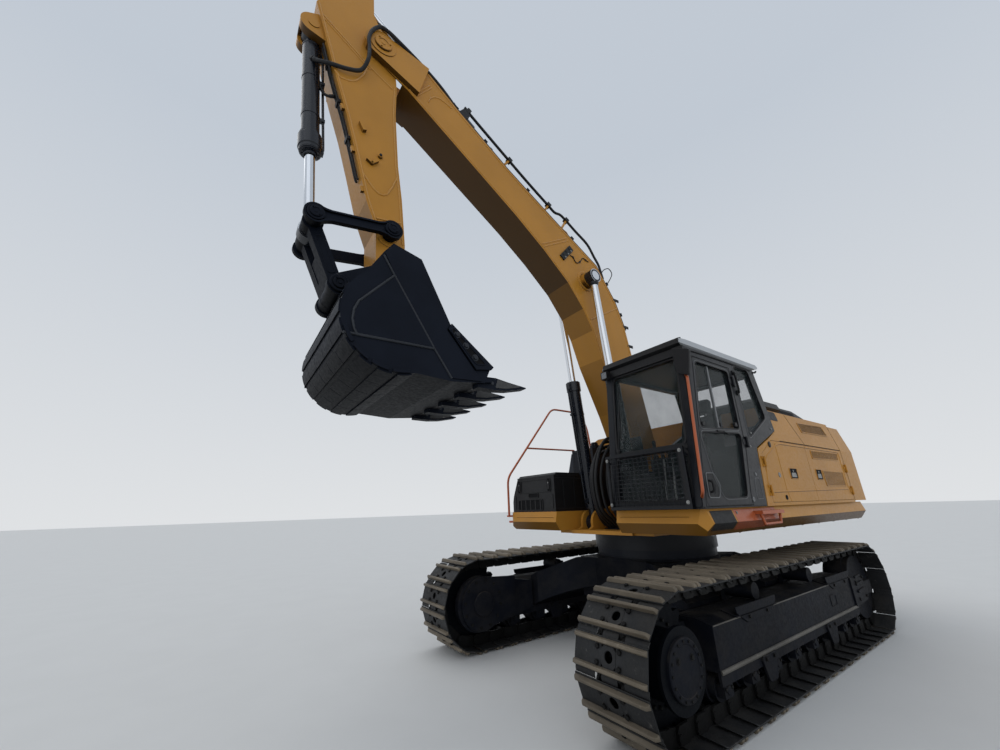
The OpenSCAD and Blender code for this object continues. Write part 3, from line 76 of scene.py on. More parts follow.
class Look:
    """Node tree of one material, in the object's own coordinates."""

    def __init__(self, name):
        self.material = bpy.data.materials.new(name)
        self.material.use_nodes = True
        self.tree = self.material.node_tree
        self.shader = self.tree.nodes["Principled BSDF"]
        self.coord = self.node("TexCoord").outputs["Object"]

    def join(self, inputs, values):
        """Gives each named input its plain value, or links it to another node's output."""
        for key, value in values.items():
            if hasattr(value, "links"):
                self.tree.links.new(value, inputs[key])
            else:
                inputs[key].default_value = value

    def node(self, kind, values=None, **settings):
        n = self.tree.nodes.new("ShaderNode" + kind)
        for key, value in settings.items():
            setattr(n, key, value)
        self.join(n.inputs, values or {})
        return n

    def mix(self, fac, a, b):
        return self.node("Mix", {0: fac, 6: a, 7: b}, data_type="RGBA").outputs[2]

    def noise(self, scale, detail=4.0, rough=0.55, stretch=(1, 1, 1)):
        at = self.node("Mapping", {"Scale": stretch, "Vector": self.coord}).outputs[0]
        return self.node("TexNoise", {"Scale": scale, "Detail": detail, "Roughness": rough,
                                      "Vector": at}).outputs["Fac"]

    def ramp(self, value, lo, hi, out_lo=0.0, out_hi=1.0):
        inputs = {"From Min": lo, "From Max": hi, "To Min": out_lo, "To Max": out_hi, "Value": value}
        return self.node("MapRange", inputs, interpolation_type="SMOOTHSTEP").outputs[0]

    def maths(self, op, a, b):
        return self.node("Math", {0: a, 1: b}, operation=op).outputs[0]

    def times(self, a, b):
        return self.maths("MULTIPLY", a, b)

    def height(self):
        return self.node("SeparateXYZ", {0: self.coord}).outputs["Z"]

    def facing_up(self):
        normal = self.node("NewGeometry").outputs["Normal"]
        return self.node("SeparateXYZ", {0: normal}).outputs["Z"]


def shade(colour, k=1.0):
    return [min(1, c * k) for c in colour] + [1]


def surface(name, colour, rough, metallic=0.0, coat=0.0, dust=0.0, dust_colour=(0.20, 0.17, 0.14),
            dust_top=2.2, mottle=0.06, bump=0.02, bump_scale=60.0, wear=0.0, wear_colour=(0.3, 0.28, 0.26),
            streaks=0.0, spec=0.5, rough_var=0.12, underside_shade=0.0, shade_below=0.0):
    """Paint, metal or plastic: uneven colour and roughness, dust that thins with height, worn patches.
    The underside shade strength darkens what faces down as painted shade, and below the shade height the
    colour is painted near-black shade."""
    look = Look(name)
    big, fine = look.noise(1.7, 3.0), look.noise(38.0, 5.0, 0.65)
    base = look.mix(look.ramp(big, 0.3, 0.7), shade(colour, 1 - mottle), shade(colour, 1 + mottle))
    roughness = look.ramp(fine, 0.3, 0.75, max(0.02, rough - rough_var * 0.5), min(1, rough + rough_var))
    if streaks:
        runs = look.noise(9.0, 3.0, 0.6, (1, 1, 0.08))
        base = look.mix(look.ramp(runs, 0.5, 0.8, 0.0, streaks), base, shade(dust_colour))
    if wear:
        worn = look.noise(14.0, 8.0, 0.72)
        base = look.mix(look.ramp(worn, 0.60, 0.70, 0.0, wear), base, shade(wear_colour))
    if dust:
        high = look.ramp(look.height(), 0.1, dust_top, 1.0, 0.15)
        up = look.ramp(look.facing_up(), -0.2, 0.9, 0.25, 1.0)
        patches = look.ramp(look.noise(5.5, 7.0, 0.68), 0.36, 0.66, 0.15, 1.0)
        cover = look.times(look.times(high, up), look.times(patches, dust))
        base = look.mix(cover, base, shade(dust_colour))
        roughness = look.maths("ADD", roughness, look.times(cover, 0.45))
    # Painted shade: faces that point down are darkened towards a dark copy of the colour
    if underside_shade:
        base = look.mix(look.ramp(look.facing_up(), -0.75, -0.15, underside_shade, 0.0), base, shade(colour, 0.10))
    # Painted shade: below the given height the colour is near-black
    if shade_below:
        low = look.ramp(look.height(), shade_below - 0.002, shade_below, 1.0, 0.0)
        base = look.mix(low, base, [0.008, 0.009, 0.012, 1])
    look.join(look.shader.inputs, {"Base Color": base, "Roughness": roughness, "Metallic": metallic,
                                   "Coat Weight": coat, "Coat Roughness": 0.12, "Specular IOR Level": spec})
    if bump:
        relief = look.node("Bump", {"Strength": bump, "Distance": 0.01})
        grain = look.noise(bump_scale, 5.0, 0.6)
        waves = look.times(look.noise(3.2, 2.0, 0.5), 1.5)
        look.join(relief.inputs, {"Height": look.maths("ADD", grain, waves)})
        look.join(look.shader.inputs, {"Normal": relief.outputs[0]})
    return look.material


def glass_material(name, tint, alpha):
    look = Look(name)
    smears = look.ramp(look.noise(2.3, 4.0), 0.35, 0.7, 0.02, 0.06)
    clear = look.ramp(look.noise(6.0, 6.0), 0.3, 0.75, alpha * 0.92, min(1, alpha * 1.10))
    look.join(look.shader.inputs, {"Roughness": smears, "Alpha": clear, "Base Color": shade(tint),
                                   "Specular IOR Level": 0.6, "IOR": 1.5})
    return look.material


# In these looks the underside shade strength paints shade on faces that point down
OCHRE = dict(colour=(0.455, 0.208, 0.028), coat=0.05, dust=0.14, dust_colour=(0.32, 0.23, 0.13), bump=0.03,
             bump_scale=45, streaks=0.06, underside_shade=0.95, spec=0.22)
PAINT = surface("ochre_paint", rough=0.38, **OCHRE)
# Painted shade: the main frame below the skirt is coloured near-black
FRAME_PAINT_SHADED_BELOW = surface("frame_paint", rough=0.40, shade_below=1.224, **OCHRE)
DARK = surface("satin_dark_paint", (0.006, 0.008, 0.014), 0.40, coat=0.04, dust=0.16,
               dust_colour=(0.050, 0.045, 0.040), dust_top=1.5, bump=0.06, bump_scale=40, mottle=0.25,
               spec=0.19, underside_shade=0.6)
CAB = surface("cab_dark_paint", (0.008, 0.009, 0.012), 0.34, coat=0.08, dust=0.10,
              dust_colour=(0.07, 0.065, 0.06), bump=0.03, mottle=0.15, spec=0.21)
CYL = surface("cylinder_paint", (0.007, 0.009, 0.014), 0.26, coat=0.20, bump=0.02, mottle=0.1, dust=0.08,
              dust_colour=(0.06, 0.055, 0.05), spec=0.3)
SHOE = surface("worn_shoe_steel", (0.024, 0.025, 0.027), 0.50, metallic=0.45, dust=0.45,
               dust_colour=(0.058, 0.052, 0.044), dust_top=3.0, wear=0.75, wear_colour=(0.110, 0.105, 0.096),
               bump=0.35, bump_scale=26, mottle=0.35, spec=0.3)
GROUSER = surface("worn_grouser_steel", (0.155, 0.128, 0.094), 0.46, metallic=0.35, dust=0.30,
                  dust_colour=(0.10, 0.085, 0.065), dust_top=3.0, wear=0.6, wear_colour=(0.28, 0.24, 0.185),
                  bump=0.3, bump_scale=26, mottle=0.3, spec=0.35)
CHAIN = surface("chain_steel", (0.012, 0.012, 0.012), 0.50, metallic=0.30, dust=0.35,
                dust_colour=(0.020, 0.018, 0.016), dust_top=3.0, bump=0.2, mottle=0.3, spec=0.10)
BASE = surface("track_frame_paint", (0.005, 0.0065, 0.011), 0.44, dust=0.80,
               dust_colour=(0.046, 0.041, 0.035), dust_top=2.4, bump=0.05, mottle=0.25, spec=0.07, underside_shade=0.5)
# Painted shade: the final drives are near-black for the shade on their sides that face away from the light
HUB_SHADE = surface("hub_painted_shade", (0.003, 0.004, 0.006), 0.55, bump=0.05, mottle=0.2, spec=0.08)
# Pale dusty steel: real dust on the frame's edge strip, and a painted highlight along the shoulder line
LEDGE_DUST_AND_HIGHLIGHT = surface("dusty_ledge_steel_and_painted_highlight", (0.105, 0.098, 0.086), 0.50, metallic=0.2, dust=0.4,
                dust_colour=(0.12, 0.108, 0.09), bump=0.15, mottle=0.25, wear=0.4,
                wear_colour=(0.20, 0.19, 0.17), spec=0.35)
BUCKET = surface("bucket_paint", (0.0080, 0.0104, 0.017), 0.46, dust=0.07, dust_colour=(0.04, 0.037, 0.033),
                 dust_top=5.0, bump=0.05, bump_scale=40, mottle=0.2, spec=0.06, underside_shade=0.9)
# Lighter grey: a painted highlight on the bucket's welds, and the bare steel of its bolts
RIDGE_STEEL_AND_HIGHLIGHT = surface("bucket_weld_steel_and_painted_highlight", (0.026, 0.029, 0.035), 0.36, metallic=0.4, bump=0.1, mottle=0.2,
                spec=0.3)
# Painted highlight: the boom and stick welds are a lighter copy of the ochre paint, for the light along their
# crests
SEAM_HIGHLIGHT_PAINT = surface("weld_paint_painted_highlight", (0.50, 0.240, 0.042), 0.36, coat=0.1, bump=0.03, bump_scale=45,
                     mottle=0.05, spec=0.4)
CHROME = surface("polished_rod", (0.70, 0.72, 0.75), 0.12, metallic=1.0, bump=0.01, mottle=0.03,
                 rough_var=0.06)
ORANGE = surface("orange_paint", (0.40, 0.085, 0.022), 0.38, coat=0.2, dust=0.15, bump=0.03, underside_shade=0.5,
                 spec=0.4)
BLACK = surface("moulded_black_plastic", (0.008, 0.008, 0.009), 0.46, bump=0.10, bump_scale=240, dust=0.12,
                dust_colour=(0.06, 0.056, 0.05), mottle=0.15, spec=0.28)
ROOF = surface("roof_plastic", (0.40, 0.42, 0.44), 0.40, bump=0.05, bump_scale=120, dust=0.2,
               dust_colour=(0.28, 0.26, 0.23), underside_shade=0.7)
RUBBER = surface("hose_rubber", (0.009, 0.009, 0.010), 0.50, bump=0.18, bump_scale=320, dust=0.15,
                 dust_colour=(0.05, 0.047, 0.043), mottle=0.2, spec=0.3)
CLOTH = surface("seat_cloth", (0.024, 0.025, 0.028), 0.85, bump=0.5, bump_scale=500, mottle=0.15, spec=0.3)
STEEL = surface("zinc_steel", (0.30, 0.30, 0.29), 0.42, metallic=0.9, bump=0.06, mottle=0.15, rough_var=0.2)
GLASS = glass_material("cab_glass_tint", (0.040, 0.055, 0.055), 0.20)
TRIM = surface("pale_edge_trim", (0.16, 0.165, 0.17), 0.40, metallic=0.3, bump=0.04, mottle=0.12)
# Near-black: painted shade in pockets, slots, grille backs and sunk fields, and the real black of seams and
# the screen
BLACK_AND_RECESS_SHADE = surface("black_and_painted_recess_shade", (0.003, 0.003, 0.004), 0.8, bump=0.1, bump_scale=150, mottle=0.1, spec=0.2)
WORN = surface("bright_worn_steel", (0.050, 0.050, 0.050), 0.42, metallic=0.6, bump=0.22, bump_scale=30,
               mottle=0.35, wear=0.7, wear_colour=(0.17, 0.165, 0.155), dust=0.2,
               dust_colour=(0.07, 0.062, 0.055), dust_top=4.0, rough_var=0.2)
LENS = surface("clear_lamp_lens", (0.10, 0.11, 0.12), 0.10, coat=1.0, bump=0.15, bump_scale=180, mottle=0.08)
RED_LENS = surface("red_lamp_lens", (0.42, 0.012, 0.010), 0.12, coat=1.0, bump=0.12, bump_scale=180,
                   mottle=0.05)

SLOT_LOOKS = {"paint": PAINT, "dark_paint": DARK, "shoe_steel": SHOE, "chrome": CHROME, "rail_orange": ORANGE,
              "black_plastic": BLACK, "roof_plastic": ROOF, "glass": GLASS, "seat_cloth": CLOTH,
              "hose_rubber": RUBBER}
NODE_LOOKS = {"cab_frame": CAB, "cab_door": CAB, "front_guard": CAB, "boom_cylinder_barrels": CYL,
              "arm_cylinder_barrel": CYL, "bucket_cylinder_barrel": CYL, "seat_and_consoles": CLOTH,
              "main_frame": FRAME_PAINT_SHADED_BELOW, "final_drives": HUB_SHADE, "bucket": BUCKET, "bucket_link": BUCKET,
              "x_frame": BASE, "track_frame_left": BASE, "track_frame_right": BASE, "idlers": BASE,
              "rollers": BASE}
BEVELS = {"boom": 0.007, "stick": 0.006, "bucket": 0.006, "deck_left": 0.008, "deck_right": 0.008,
          "counterweight": 0.02, "engine_house": 0.012, "side_door_front": 0.005, "side_door_rear": 0.005,
          "side_door_right": 0.005, "x_frame": 0.01, "track_frame_left": 0.006, "track_frame_right": 0.006,
          "main_frame": 0.006, "cab_frame": 0.006, "cab_door": 0.005, "cab_roof": 0.02, "toolbox": 0.03,
          "toolbox_lid": 0.022, "hydraulic_tank": 0.02, "engine_hood": 0.02, "idler_links": 0.008,
          "bucket_link": 0.008, "final_drives": 0.006, "rollers": 0.003, "mirror_and_lamps": 0.006}


def bevel(obj, width, segments=2, angle=32):
    mod = obj.modifiers.new("bevel", "BEVEL")
    mod.width = width
    mod.segments = segments
    mod.limit_method = "ANGLE"
    mod.angle_limit = math.radians(angle)
    mod.harden_normals = False


slots = {e["node"]: e["material_slot"] for e in frame["record"]["subparts"]}
for name, obj in frame["nodes"].items():
    look = NODE_LOOKS.get(name) or SLOT_LOOKS[slots[name]]
    obj.data.materials.clear()
    obj.data.materials.append(look)
    if name in BEVELS:
        bevel(obj, BEVELS[name])


# Outlines are lists of (a, b) points, most of them (x, z)

X_AXIS, Y_AXIS, Z_AXIS = (1, 0, 0), (0, 1, 0), (0, 0, 1)


def circle(n, start=0.0):
    """(cos, sin) of n even angles round a circle."""
    angles = [start + 2 * math.pi * i / n for i in range(n)]
    return [(math.cos(a), math.sin(a)) for a in angles]


def arc(cx, cz, r, a0, a1, n):
    angles = [math.radians(a0 + (a1 - a0) * i / n) for i in range(n + 1)]
    return [(cx + r * math.cos(a), cz + r * math.sin(a)) for a in angles]


def lerp(a, b, t):
    return tuple(p + (q - p) * t for p, q in zip(a, b))


def unit2(a, b):
    d = (b[0] - a[0], b[1] - a[1])
    n = math.hypot(*d)
    return (d[0] / n, d[1] / n)


def shift(p, u, d):
    """Point p moved by d along the direction u."""
    return (p[0] + u[0] * d, p[1] + u[1] * d)


def bend(s, p, e, t):
    """Point at t of the curve from s to e whose corner is p."""
    return tuple((1 - t) ** 2 * s[m] + 2 * t * (1 - t) * p[m] + t * t * e[m] for m in (0, 1))


def rect(x0, z0, x1, z1):
    return [(x0, z0), (x1, z0), (x1, z1), (x0, z1)]


def smooth_outline(points, r, n=4):
    """Closed outline with its corners rounded: r is one radius or one for each corner."""
    out = []
    for i, p in enumerate(points):
        a, b = points[i - 1], points[(i + 1) % len(points)]
        q = r[i] if isinstance(r, (list, tuple)) else r
        q = min(q, 0.48 * math.dist(p, a), 0.48 * math.dist(p, b))
        s, e = shift(p, unit2(p, a), q), shift(p, unit2(p, b), q)
        out += [bend(s, p, e, j / n) for j in range(n + 1)]
    return out


def soft_rect(x0, z0, x1, z1, r, n=4):
    return smooth_outline(rect(x0, z0, x1, z1), r, n)


def corner_fillets(points, r):
    """One small outline for each corner, which together make a sharp opening round."""
    out = []
    for i, p in enumerate(points):
        ua, ub = unit2(p, points[i - 1]), unit2(p, points[(i + 1) % len(points)])
        s, e = shift(p, ua, r), shift(p, ub, r)
        tip = (p[0] - (ua[0] + ub[0]) * 0.003, p[1] - (ua[1] + ub[1]) * 0.003)
        out.append([tip] + [bend(s, p, e, j / 6) for j in range(7)])
    return out


def turn(points):
    """Twice the signed area, positive for a left-hand turn."""
    return sum(a[0] * b[1] - b[0] * a[1] for a, b in zip(points, points[1:] + points[:1]))


def grow(points, d):
    """Closed outline moved outward by d."""
    s = 1 if turn(points) > 0 else -1
    out = []
    for i, p in enumerate(points):
        u, v = unit2(points[i - 1], p), unit2(p, points[(i + 1) % len(points)])
        m = ((u[1] + v[1]) * s, -(u[0] + v[0]) * s)
        c = max(0.35, (m[0] * m[0] + m[1] * m[1]) / 2)
        out.append((p[0] + m[0] * d / c, p[1] + m[1] * d / c))
    return out


def inset_line(points, d):
    """Open line moved sideways by d, to its left when d is positive."""
    out = []
    for i, p in enumerate(points):
        u = unit2(points[max(i - 1, 0)], points[min(i + 1, len(points) - 1)])
        out.append(shift(p, (-u[1], u[0]), d))
    return out


def split_at(outline, x, keep_front):
    """Part of a closed outline ahead of x, or behind it."""
    out = []
    for p, q in zip(outline, outline[1:] + outline[:1]):
        if (p[0] > x) == keep_front:
            out.append(p)
        if (p[0] > x) != (q[0] > x):
            t = (x - p[0]) / (q[0] - p[0])
            out.append((x, p[1] + (q[1] - p[1]) * t))
    return out


def bend_path(points, r=0.07, n=6):
    """Points of a bar bent on a radius at each corner."""
    out = [Vector(points[0])]
    for a, p, b in zip(points, points[1:], points[2:]):
        a, p, b = Vector(a), Vector(p), Vector(b)
        q = min(r, 0.45 * (p - a).length, 0.45 * (b - p).length)
        s, e = p + (a - p).normalized() * q, p + (b - p).normalized() * q
        out += [s * (1 - t) ** 2 + p * 2 * t * (1 - t) + e * t * t for t in (i / n for i in range(n + 1))]
    return out + [Vector(points[-1])]


# Building pieces: a place(a, y, b) function turns an outline's point and its depth into a point in metres

def upright(a, y, b):
    return (a, y, b)


def facing_x(a, x, b):
    """Outlines of (y, z) points."""
    return (x, a, b)


def facing_z(a, z, b):
    """Outlines of (x, y) points."""
    return (a, b, z)


class Piece:
    def __init__(self):
        self.v, self.f = [], []

    def add(self, verts, faces):
        k = len(self.v)
        self.v += [tuple(p) for p in verts]
        self.f += [[i + k for i in f] for f in faces]

    def prism(self, outline, y0, y1, place=upright):
        """Extrudes an outline from depth y0 to y1."""
        n = len(outline)
        verts = [place(a, y, b) for y in (y0, y1) for a, b in outline]
        faces = [list(range(n)), list(range(2 * n - 1, n - 1, -1))]
        faces += [[(i + 1) % n, i, i + n, (i + 1) % n + n] for i in range(n)]
        self.add(verts, faces)

    def box(self, lo, hi, place=upright):
        self.prism(rect(lo[0], lo[2], hi[0], hi[2]), lo[1], hi[1], place)

    def skin(self, rows, ends="flat"):
        """Skin over closed rows of points: its ends are flat, open, or joined round a hole."""
        k, n = len(rows), len(rows[0])
        faces = [[j * n + i, j * n + (i + 1) % n, (j + 1) * n + (i + 1) % n, (j + 1) * n + i]
                 for j in range(k - 1) for i in range(n)]
        if ends == "joined":
            faces += [[(k - 1) * n + i, (k - 1) * n + (i + 1) % n, (i + 1) % n, i] for i in range(n)]
        elif ends == "flat":
            faces += [list(range(n - 1, -1, -1)), list(range((k - 1) * n, k * n))]
        self.add([p for row in rows for p in row], faces)

    def lathe(self, at, axis, profile, n=24, ring=False):
        """Solid of revolution: profile is (distance from at, radius) pairs.
        A ring, or a profile that ends at the distance it starts at, is closed round its hole."""
        at, w = Vector(at), Vector(axis).normalized()
        u = w.orthogonal().normalized()
        v = w.cross(u)
        rows = [[at + w * d + (u * c + v * s) * r for c, s in circle(n)] for d, r in profile]
        joined = ring or abs(profile[0][0] - profile[-1][0]) < 1e-9
        self.skin(rows, "joined" if joined else "flat")

    def stud(self, at, axis, heights, radii, n):
        """Turned plug with a bevelled top: heights are its base, its side's end and its top."""
        (base, side, top), (r, top_r) = heights, radii
        self.lathe(at, axis, [(base, r), (side, r), (top, top_r), (top, 0.001)], n)

    def cyl(self, a, b, r, n=24, chamfer=0.0):
        axis = Vector(b) - Vector(a)
        h = axis.length
        if chamfer:
            self.lathe(a, axis, [(0, r - chamfer), (chamfer, r), (h - chamfer, r), (h, r - chamfer)], n)
        else:
            self.lathe(a, axis, [(0, r), (h, r)], n)

    def tube(self, points, r, n=10, steps=8, smooth=True, rings=None):
        """Round tube along a smooth curve through the points; rings(i) scales the radius at ring i."""
        pts = [Vector(p) for p in points]
        path = []
        if smooth and len(pts) > 2:
            ext = [pts[0] * 2 - pts[1]] + pts + [pts[-1] * 2 - pts[-2]]
            for i in range(1, len(ext) - 2):
                p0, p1, p2, p3 = ext[i - 1:i + 3]
                for k in range(steps):
                    t = k / steps
                    path.append(0.5 * ((2 * p1) + (p2 - p0) * t + (2 * p0 - 5 * p1 + 4 * p2 - p3) * t * t
                                       + (3 * p1 - p0 - 3 * p2 + p3) * t ** 3))
            path.append(pts[-1])
        else:
            path = pts
        u, rows = None, []
        for i, p in enumerate(path):
            d = (path[min(i + 1, len(path) - 1)] - path[max(i - 1, 0)]).normalized()
            u = d.orthogonal().normalized() if u is None else (u - d * u.dot(d)).normalized()
            w = d.cross(u)
            k = r * (rings(i) if rings else 1)
            rows.append([p + (u * c + w * s) * k for c, s in circle(n)])
        self.skin(rows)

    def bolt(self, at, axis, r=0.014, h=0.012, washer=True):
        """Hexagon head on a washer, standing on at along axis."""
        a, w = Vector(at), Vector(axis).normalized()
        if washer:
            self.lathe(a - w * 0.002, w, [(0, r * 1.45), (0.005, r * 1.45)], 14)
        self.lathe(a, w, [(0, r), (h * 0.85, r), (h, r * 0.82)], 6)

    def band(self, outer, inner, y0, y1, place=upright):
        """Flat ring between two outlines with the same number of points."""
        n = len(outer)
        verts = [place(a, y, b) for ring in (outer, inner) for y in (y0, y1) for a, b in ring]
        faces = []
        for i in range(n):
            j = (i + 1) % n
            faces += [[i, j, n + j, n + i], [2 * n + j, 2 * n + i, 3 * n + i, 3 * n + j],
                      [j, i, 2 * n + i, 2 * n + j], [n + i, n + j, 3 * n + j, 3 * n + i]]
        self.add(verts, faces)

    def rim(self, points, width, y0, y1, place=upright):
        """Band of a width whose inner edge is the outline."""
        self.band(grow(points, width), points, y0, y1, place)

    def bead(self, points, r, sides=8, step=0.014):
        """Weld bead: a fine ripple along a path of (x, y, z) points."""
        path = []
        for a, b in zip(points, points[1:]):
            a, b = Vector(a), Vector(b)
            k = max(1, int((b - a).length / step))
            path += [a.lerp(b, i / k) for i in range(k)]
        path.append(Vector(points[-1]))
        self.tube(path, r, sides, smooth=False, rings=lambda i: 1.0 + 0.16 * (i % 2))

    def ring_bolts(self, at, axis, radius, count, r, h=0.012, start=0.0, washer=False):
        w = Vector(axis).normalized()
        u = w.orthogonal().normalized()
        v = w.cross(u)
        for c, s in circle(count, start):
            self.bolt(Vector(at) + (u * c + v * s) * radius, w, r, h, washer)

    def pin_cap(self, x, z, y, s, r, depth=0.02, bolts=3):
        """Round end plate of a pin on side s, with a raised middle and bolts."""
        self.lathe((x, y, z), (0, s, 0),
                   [(0, r), (depth * 0.75, r), (depth, r - 0.006), (depth, r * 0.62), (depth * 0.7, r * 0.58),
                    (depth * 0.7, r * 0.30), (depth * 0.9, r * 0.26), (depth * 0.9, 0.001)], 36)
        if bolts:
            self.ring_bolts((x, y + s * depth, z), (0, s, 0), r * 0.79, bolts, r * 0.11, 0.010)

    def hose(self, points, r, n=12, steps=8):
        """Flexible hose with a hexagon nut and a ferrule at each end."""
        self.tube(points, r, n, steps)
        for a, b in ((points[0], points[1]), (points[-1], points[-2])):
            a, b = Vector(a), Vector(b)
            w = (b - a).normalized()
            self.lathe(a - w * 0.002, w, [(0, r * 1.5), (r * 1.3, r * 1.5)], 6)
            self.lathe(a + w * r * 1.3, w, [(0, r * 1.22), (r * 2.6, r * 1.28), (r * 3.0, r * 1.02)], n)

    def sweep(self, points, half, height, place):
        """Low ridge with a rounded back along points on a face, closed if the first is also the last."""
        closed = points[0] == points[-1]
        section = ((-1, -0.15), (-0.7, 0.55), (-0.25, 1.0), (0.25, 1.0), (0.7, 0.55), (1, -0.15))
        n, rows = len(points), []
        for i, p in enumerate(points):
            a, b = points[max(i - 1, 0)], points[min(i + 1, n - 1)]
            if closed and i in (0, n - 1):
                a, b = points[-2], points[1]
            u = unit2(a, b)
            m = (-u[1], u[0])
            rows.append([place(p[0] + m[0] * k * half, h * height, p[1] + m[1] * k * half)
                         for k, h in section])
        self.skin(rows, "open" if closed else "flat")

    def bosses(self, spots, y, s, n, rise=0.004, cut=0.005):
        """Bevelled rings round pins on side s: spots are (x, z, hole's radius, radius, height)."""
        for x, z, r0, r1, d in spots:
            self.lathe((x, y, z), (0, s, 0), [(-0.004, r1), (d, r1), (d + rise, r1 - cut), (d + rise, r0),
                                              (-0.004, r0)], n)

    def done(self, name, look, body, width=0.0, segments=2, angle=35, replaces=()):
        me = bpy.data.meshes.new(name)
        me.from_pydata([(x - FX, y, z) for x, y, z in self.v], [], self.f)
        me.validate()
        me.update()
        obj = bpy.data.objects.new(name, me)
        bpy.context.scene.collection.objects.link(obj)
        bm = bmesh.new()
        bm.from_mesh(me)
        bmesh.ops.recalc_face_normals(bm, faces=bm.faces)
        bm.to_mesh(me)
        bm.free()
        me.shade_smooth()
        me.set_sharp_from_angle(angle=math.radians(angle))
        me.materials.append(look)
        if width:
            bevel(obj, width, segments)
        if body:
            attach(obj, body)
        if replaces:
            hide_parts(*replaces)
        return obj


def pieces(n):
    return [Piece() for _ in range(n)]


# Tracks, at the same stations as the part's source

GAUGE, SHOE_W, TUMBLER, SHOES, PITCH = 2.59, 0.60, 4.03, 49, 0.216
PIN_R = (SHOES * PITCH - 2 * TUMBLER) / (2 * math.pi)
AXLE_Z = PIN_R + 0.056 + 0.012 + 0.030
AXLE_X = TUMBLER / 2
ARC_LEN = math.pi * PIN_R
SHOE_TOP = 0.068
LINK_PIN = -PITCH / 2


def station(s):
    """Point on the pin line at the length s from the top front: x, and the angle that the shoe faces."""
    if s < TUMBLER:
        return AXLE_X - s, 90.0
    if s < TUMBLER + ARC_LEN:
        return -AXLE_X, 90 + math.degrees((s - TUMBLER) / PIN_R)
    if s < 2 * TUMBLER + ARC_LEN:
        return s - ARC_LEN - TUMBLER - AXLE_X, 270.0
    return AXLE_X, 270 + math.degrees((s - 2 * TUMBLER - ARC_LEN) / PIN_R)


def shoe_placer(i, y0):
    x, a = station((i + 0.5) * PITCH)
    a = math.radians(a)
    c, s = math.cos(a), math.sin(a)

    def put(t, y, n):
        return (x + (PIN_R + n) * c - t * s, y0 + y, AXLE_Z + (PIN_R + n) * s + t * c)
    return put


def shoe(p, bars, put):
    """One plate into p and its two bars into bars, laid on the chain by put(along, across, out)."""
    top, low, end = SHOE_TOP, 0.056, 0.103
    half = SHOE_W / 2
    # Both bars with their ends cut back
    for k in (-1, 1):
        mid, rows = k * 0.082, []
        for y, h in ((-half, 0.45), (-half + 0.016, 1.0), (half - 0.016, 1.0), (half, 0.45)):
            crest = top + 0.030 * h
            section = ((-0.019, top - 0.002), (-0.010, crest), (0.010, crest), (0.019, top - 0.002))
            rows.append([put(mid + t, y, n) for t, n in section])
        bars.skin(rows)
    # Plate with the round hole in its middle
    m, hole, hs = 16, 0.034, 0.060
    rays = circle(m, math.pi / m)
    ring = [(hole * c, hole * s) for c, s in rays]
    sq = [(c * hs / max(abs(c), abs(s)), s * hs / max(abs(c), abs(s))) for c, s in rays]
    verts, faces = [], []
    for n in (top, low):
        verts += [put(t, y, n) for t, y in ring] + [put(t, y, n) for t, y in sq]
    for i in range(m):
        j = (i + 1) % m
        faces += [[i, j, m + j, m + i], [2 * m + j, 2 * m + i, 3 * m + i, 3 * m + j],
                  [j, i, 2 * m + i, 2 * m + j]]
    p.add(verts, faces)
    for y0, y1 in ((-half, -hs), (hs, half)):
        p.box((-end, y0, low), (end, y1, top), put)
    for t0, t1 in ((-end, -hs), (hs, end)):
        p.box((t0, -hs, low), (t1, hs, top), put)
    # Lip bent round the pin, cut out where the links pass, that closes the gap on the wheels
    lip = arc(PITCH / 2, 0, 0.0555, 93, 44, 6) + arc(PITCH / 2, 0, 0.0485, 44, 93, 6)
    for y0, y1 in ((-half, -0.120), (-0.066, 0.066), (0.120, half)):
        p.prism(lip, y0, y1, put)
    # Curled lip that laps over the next shoe
    p.prism([(end - 0.004, top), (end + 0.006, top - 0.001), (end + 0.008, top - 0.008), (end, low)], -half,
            half, put)


def build_track(name, sign):
    y0 = sign * GAUGE / 2
    shoes, bars, chain, bolts = pieces(4)
    for i in range(SHOES):
        put = shoe_placer(i, y0)
        shoe(shoes, bars, put)
        for t in (-0.045, 0.045):
            for y in (-0.092, 0.092):
                at = Vector(put(t, y, SHOE_TOP))
                bolts.bolt(at, Vector(put(t, y, SHOE_TOP + 0.1)) - at, 0.017, 0.014, washer=False)
        # Two overlapping link plates on each side, the pin's end and the bush between them
        for s in (-1, 1):
            for a, b, ya, yb in ((-0.132, 0.012, 0.074, 0.094), (-0.012, 0.132, 0.092, 0.112)):
                lo, hi = sorted((s * ya, s * yb))
                chain.prism([(a, -0.030), (a + 0.022, -0.054), (b - 0.022, -0.054), (b, -0.030), (b, 0.030),
                             (b - 0.022, 0.056), (a + 0.022, 0.056), (a, 0.030)], lo, hi, put)
            chain.cyl(put(LINK_PIN, s * 0.074, 0), put(LINK_PIN, s * 0.118, 0), 0.026, 14)
        chain.cyl(put(LINK_PIN, -0.075, 0), put(LINK_PIN, 0.075, 0), 0.036, 16)
    shoes.done(name + "_shoes", SHOE, "undercarriage", 0.003, 1, replaces=(name,))
    bars.done(name + "_grousers", GROUSER, "undercarriage", 0.004, 2)
    chain.done(name + "_chain", CHAIN, "undercarriage")
    bolts.done(name + "_shoe_bolts", CHAIN, "undercarriage")


build_track("track_left", 1)
build_track("track_right", -1)


# Undercarriage details

